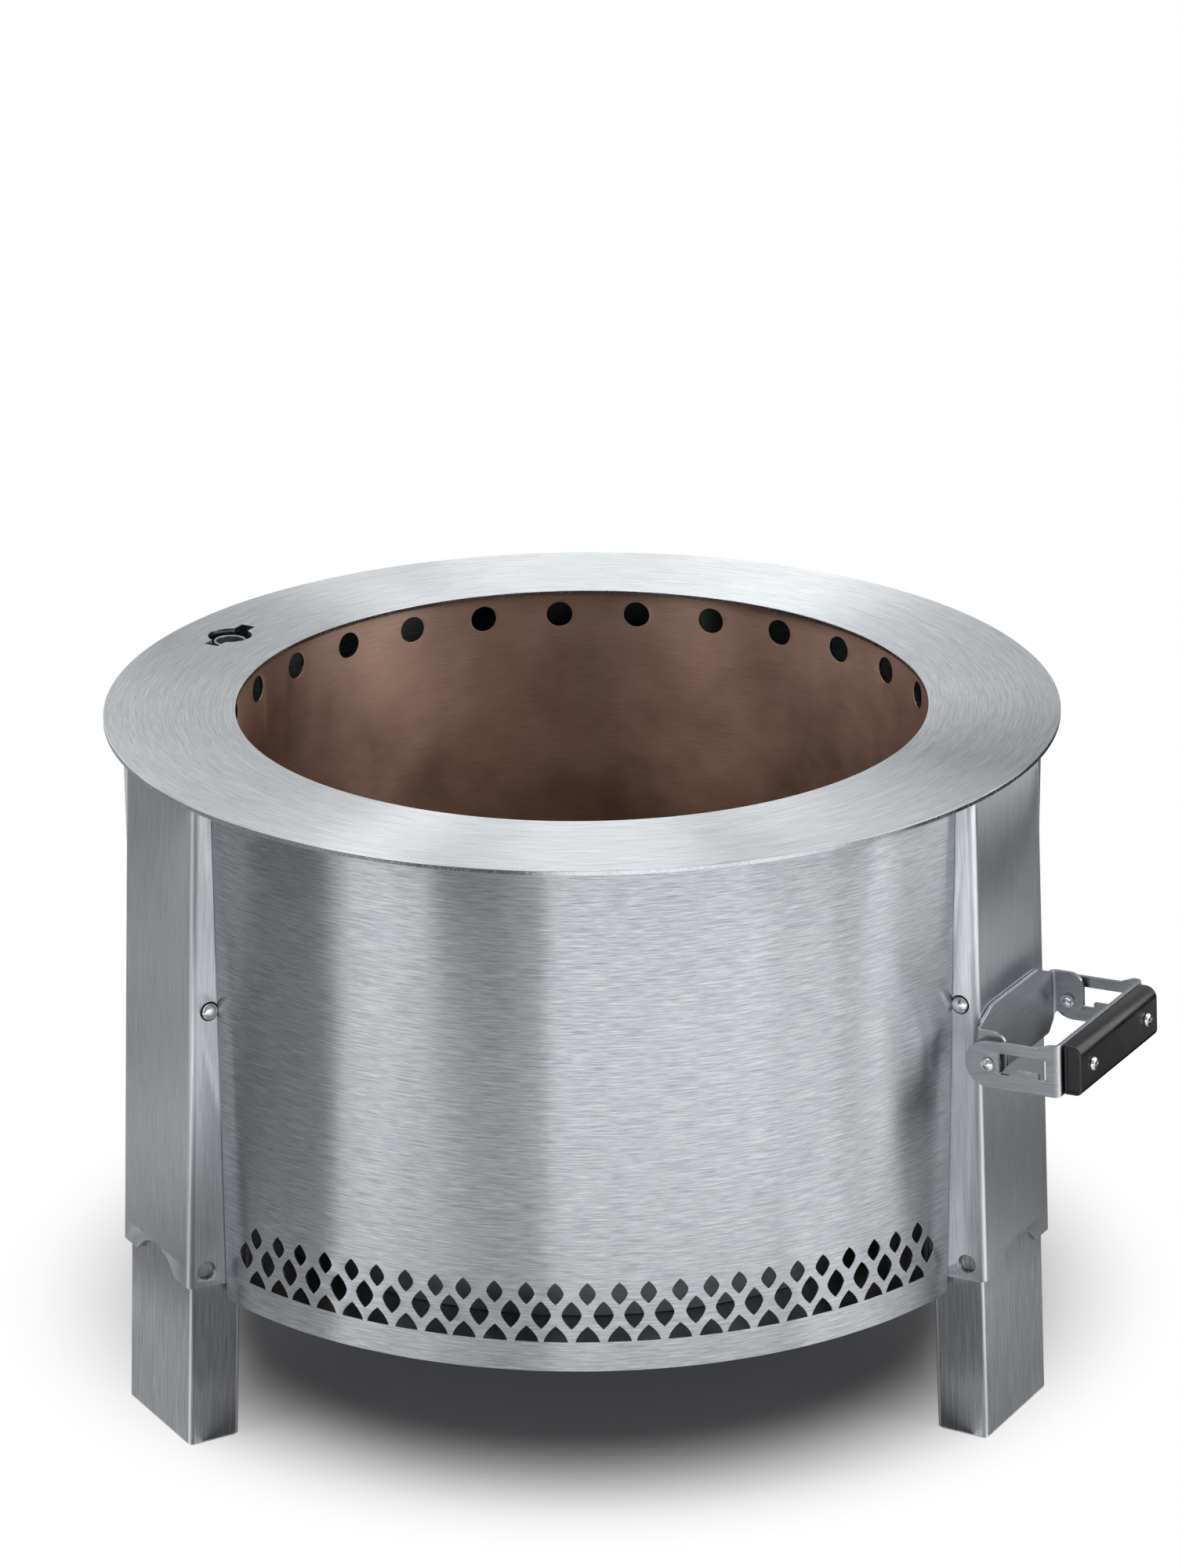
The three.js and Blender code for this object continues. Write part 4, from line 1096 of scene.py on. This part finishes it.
# Rim plate
# A ring laser cut from 3 mm stainless, turned against a belt so that its scratches run round
# it, and welded over chamber, shell and sleeves. The keyhole takes a cooking post.
rim_radius, opening_radius, rim_sheet = 280, 203, 3
keyhole_radius, slot_half_width, slot_half_length = 13.3, 4.7, 21
rim_edge = 0.4
rim_segments = 240

rim_steel = brushed_steel("stainless 304, brushed round the rim", "#b9bcbf", "#dcdedf",
                          0.36, 1.0, 0.014, 0.0005, is_round=True)
keyhole_reach = math.sqrt(keyhole_radius ** 2 - slot_half_width ** 2)
meet = math.atan2(keyhole_reach, slot_half_width)
right_side = [(keyhole_radius * math.cos(angle), keyhole_radius * math.sin(angle))
              for angle in np.linspace(-meet, meet, 20)]
left_side = [(-x, -y) for x, y in right_side]
keyhole = [*right_side, (slot_half_width, slot_half_length), (-slot_half_width, slot_half_length),
           *left_side, (-slot_half_width, -slot_half_length), (slot_half_width, -slot_half_length)]
keyhole = [(x - socket_reach, y) for x, y in reversed(keyhole)]

ring_middle = (rim_radius + opening_radius) / 2
ring_length = 2 * math.pi * ring_middle


def bend_ring(distance, reach):
    """How the flat ring lies: distance runs round it, and reach in towards its middle."""
    angle = distance / ring_middle
    across = Vector((-math.cos(angle), -math.sin(angle), 0))
    return reach * across, Vector((across.y, -across.x, 0)), across, Vector((0, 0, 1)), 0


ring_lines = list(np.linspace(0, ring_length, rim_segments + 1))
keyhole_cut = [(math.atan2(y, x) % (2 * math.pi) * ring_middle, -math.hypot(x, y))
               for x, y in keyhole]
ring_blank = box_outline(-seam_trim, ring_length + seam_trim, -rim_radius, -opening_radius)
rim = form_sheet(
    "rim_brushed_ring", rim_steel, [ring_blank, keyhole_cut], rim_sheet, rim_edge,
    (ring_lines, bend_ring), "round",
    Matrix.Translation((0, 0, rim_underside + rim_sheet)), closed=True)
hand_over(rim, "fire_pit", "stainless", "rim_plate")


# Studio
# A white floor under three soft lamps, one overhead and one high on each side. A tent of grey
# cloth, hung with white and black cards, gives the steel its bright and dark bands.
camera_spot = Vector((1.5511, -2.6923, 1.3944))
focal_length = 128.975
aim_x, aim_y = -0.4992, 0.8665
pitch, roll, yaw = math.radians(20.25), math.radians(-0.46), math.radians(0.0913)
floor_level, floor_radius = -0.093, 40

heading = math.atan2(aim_y, aim_x) - yaw
level_ahead = Vector((math.cos(heading), math.sin(heading), 0))
look = level_ahead * math.cos(pitch) - Vector((0, 0, math.sin(pitch)))
level_right = Vector((level_ahead.y, -level_ahead.x, 0))
level_up = level_right.cross(look)
right = math.cos(roll) * level_right + math.sin(roll) * level_up
up = -math.sin(roll) * level_right + math.cos(roll) * level_up
lens = bpy.data.cameras.new("camera")
lens.lens = focal_length
camera = add_object("camera", lens)
turned_to = Matrix((right, up, -look)).transposed().to_4x4()
camera.matrix_world = Matrix.Translation(camera_spot) @ turned_to
bpy.context.scene.camera = camera

disc = bmesh.new()
bmesh.ops.create_circle(disc, cap_ends=True, segments=96, radius=floor_radius)
bmesh.ops.translate(disc, vec=(0, 0, floor_level), verts=disc.verts)
floor = add_object("floor", mesh_of(disc, "floor"))


def seen_in(tree):
    """1 where the camera looks, straight or by way of metal or glass, and 0 for other light."""
    rays = add_node(tree, "ShaderNodeLightPath").outputs
    seen = add_node(tree, "ShaderNodeMath", {
        0: rays["Is Camera Ray"], 1: rays["Is Glossy Ray"]}, operation="ADD").outputs[0]
    return add_node(tree, "ShaderNodeMath", {
        0: seen, 1: rays["Is Transmission Ray"]}, operation="ADD", use_clamp=True).outputs[0]


# Painted floor: matt white, so it takes the soft shadow under the steel. Round that, it
# turns into the plain white of the backdrop.
shadow_start, shadow_end, shadow_shift = 0.215, 0.37, 0.05
paint = empty_material("matt white floor paint")
tree = paint.node_tree
place = add_node(tree, "ShaderNodeTexCoord").outputs["Object"]
centre = shadow_shift * level_ahead + Vector((0, 0, floor_level))
distance = add_node(tree, "ShaderNodeVectorMath", {
    0: place, 1: centre}, operation="DISTANCE").outputs["Value"]
backdrop = add_node(tree, "ShaderNodeMapRange", {
    "Value": distance, "From Min": shadow_start, "From Max": shadow_end},
    interpolation_type="SMOOTHSTEP")
share = add_node(tree, "ShaderNodeMath", {
    0: seen_in(tree), 1: backdrop.outputs["Result"]}, operation="MULTIPLY").outputs[0]
matt = add_node(tree, "ShaderNodeBsdfPrincipled", {
    "Base Color": linear("#e6e6e7"), "Roughness": 0.9, "Specular IOR Level": 0.0})
glow = add_node(tree, "ShaderNodeEmission", {
    "Color": (1, 1, 1, 1), "Strength": 1.0})
mixed = add_node(tree, "ShaderNodeMixShader", {
    0: share, 1: matt.outputs["BSDF"], 2: glow.outputs["Emission"]})
add_node(tree, "ShaderNodeOutputMaterial", {"Surface": mixed.outputs["Shader"]})
floor.data.materials.append(paint)

# Backdrop: white where it is seen, and a dim fill for the rest of the light
world = bpy.data.worlds.new("studio")
world.use_nodes = True
world.node_tree.nodes.clear()
white = add_node(world.node_tree, "ShaderNodeMapRange", {
    "Value": seen_in(world.node_tree), "To Min": 0.15, "To Max": 1.0}).outputs["Result"]
backing = add_node(world.node_tree, "ShaderNodeBackground", {
    "Color": (1, 1, 1, 1), "Strength": white})
add_node(world.node_tree, "ShaderNodeOutputWorld", {"Surface": backing.outputs["Background"]})
bpy.context.scene.world = world


camera_side = -60
lamp_aim = Vector((0, 0, 0.1))


def soft_box(name, bearing, height, distance, width, brightness, tall=1.2):
    """A flat lamp. Its bearing is measured from the camera's side, to the right, in degrees."""
    turn = math.radians(camera_side + bearing)
    spot = Vector((distance * math.cos(turn), distance * math.sin(turn), height))
    lamp = bpy.data.lights.new(name, "AREA")
    lamp.shape = "RECTANGLE"
    lamp.size = width
    lamp.size_y = tall
    lamp.energy = brightness * math.pi * width * tall
    facing = (lamp_aim - spot).to_track_quat("-Z", "Y").to_matrix().to_4x4()
    piece = add_object(name, lamp)
    piece.matrix_world = Matrix.Translation(spot) @ facing
    piece.visible_camera = False


soft_box("overhead lamp", bearing=0, height=2.6, distance=0.01, width=1.2, brightness=3.7)
soft_box("left lamp", bearing=-90, height=2.4, distance=1.3, width=2.4, brightness=3.6)
soft_box("right lamp", bearing=90, height=2.4, distance=1.3, width=2.4, brightness=2.1)

# Light tent: only reflections show it. Each band of cloth runs round the steel between two
# edges, a radius and a height above the floor, and the lamps stand under its roof.
tent_radius = 0.75
shadow = ((0.20, 0.001), (0.285, 0.001))
near_floor = ((0.285, 0.001), (0.48, 0.001))
far_floor = ((0.48, 0.001), (tent_radius, 0.001))
low_wall = ((tent_radius, 0.001), (tent_radius, 0.12))
wall = ((tent_radius, 0.12), (tent_radius, 0.30))
high_wall = ((tent_radius, 0.30), (tent_radius, 1.50))
roof = ((2.50, 3.00), (0.001, 3.00))
cloth_grey, cloth_blue = 0.45, 0.015
gore_width = 7.5
cards = (
    # The band it hangs on, the bearings that it spans as the lamps have them, and how bright
    # it is, from 0 for black to 1 for plain white and more where a lamp shines through it
    (high_wall, -150, -97.5, 1.2),    # left of the rim
    (high_wall, -82.5, -52.5, 0.1),   # the dark left end of the shell
    (high_wall, -52.5, -30, 1.4),     # the bright band left of its middle
    (high_wall, -30, -15, 0),         # the dark band beside that
    (high_wall, 60, 105, 2.2),        # the bright right end
    (high_wall, 165, 187.5, 1.4),     # the front of the rim
    (wall, -37.5, -7.5, 0.1),
    (wall, -7.5, 37.5, 2.2),          # the broad light band
    (wall, 37.5, 52.5, 1.8),
    (wall, 52.5, 67.5, 0.9),
    (wall, 67.5, 142.5, 0),           # the dark face of the right sleeve
    (low_wall, -82.5, -52.5, 0.1),
    (low_wall, -52.5, 7.5, 2.0),      # the right sleeve's bright side
    (low_wall, 7.5, 37.5, 1.0),       # the left sleeve's side
    (low_wall, 90, 142.5, 0.3),
    (far_floor, -112.5, -82.5, 0.8),
    (far_floor, -82.5, -52.5, 0.1),
    (far_floor, 7.5, 67.5, 1.2),
    (far_floor, 67.5, 142.5, 0),
    (near_floor, -97.5, -37.5, 0.65),
    (near_floor, -37.5, 37.5, 0.3),
    (near_floor, 37.5, 52.5, 0.9),
    (shadow, -180, 180, 0.13),        # the dull sides of the legs
    (roof, -180, 180, 0.15),
)
sewn = bmesh.new()
cloth = sewn.loops.layers.float_color.new("cloth")
for band in (shadow, near_floor, far_floor, low_wall, wall, high_wall, roof):
    first_edge, last_edge = band
    for begin in np.arange(-180, 180, gore_width):
        shade = cloth_grey
        for hung, first, last, brightness in cards:
            if hung == band and (first <= begin < last or first <= begin + 360 < last):
                shade = brightness
        turn = math.radians(camera_side + begin)
        next_turn = math.radians(camera_side + begin + gore_width)
        corners = ((first_edge, turn), (last_edge, turn), (last_edge, next_turn),
                   (first_edge, next_turn))
        face = sewn.faces.new([
            sewn.verts.new((radius * math.cos(angle), radius * math.sin(angle),
                            floor_level + height)) for (radius, height), angle in corners])
        for loop in face.loops:
            loop[cloth] = ((1 - cloth_blue) * shade, shade, (1 + cloth_blue) * shade, 1)
light_tent = add_object("light_tent", mesh_of(sewn, "light tent"))
tent_cloth = empty_material("tent cloth, lit from outside")
tree = tent_cloth.node_tree
shade = add_node(tree, "ShaderNodeVertexColor", layer_name="cloth").outputs["Color"]
lit = add_node(tree, "ShaderNodeEmission", {"Color": shade, "Strength": 1.0})
add_node(tree, "ShaderNodeOutputMaterial", {"Surface": lit.outputs["Emission"]})
light_tent.data.materials.append(tent_cloth)
for kind in ("camera", "diffuse", "shadow", "transmission"):
    setattr(light_tent, "visible_" + kind, False)

bpy.context.scene.view_settings.view_transform = "Standard"
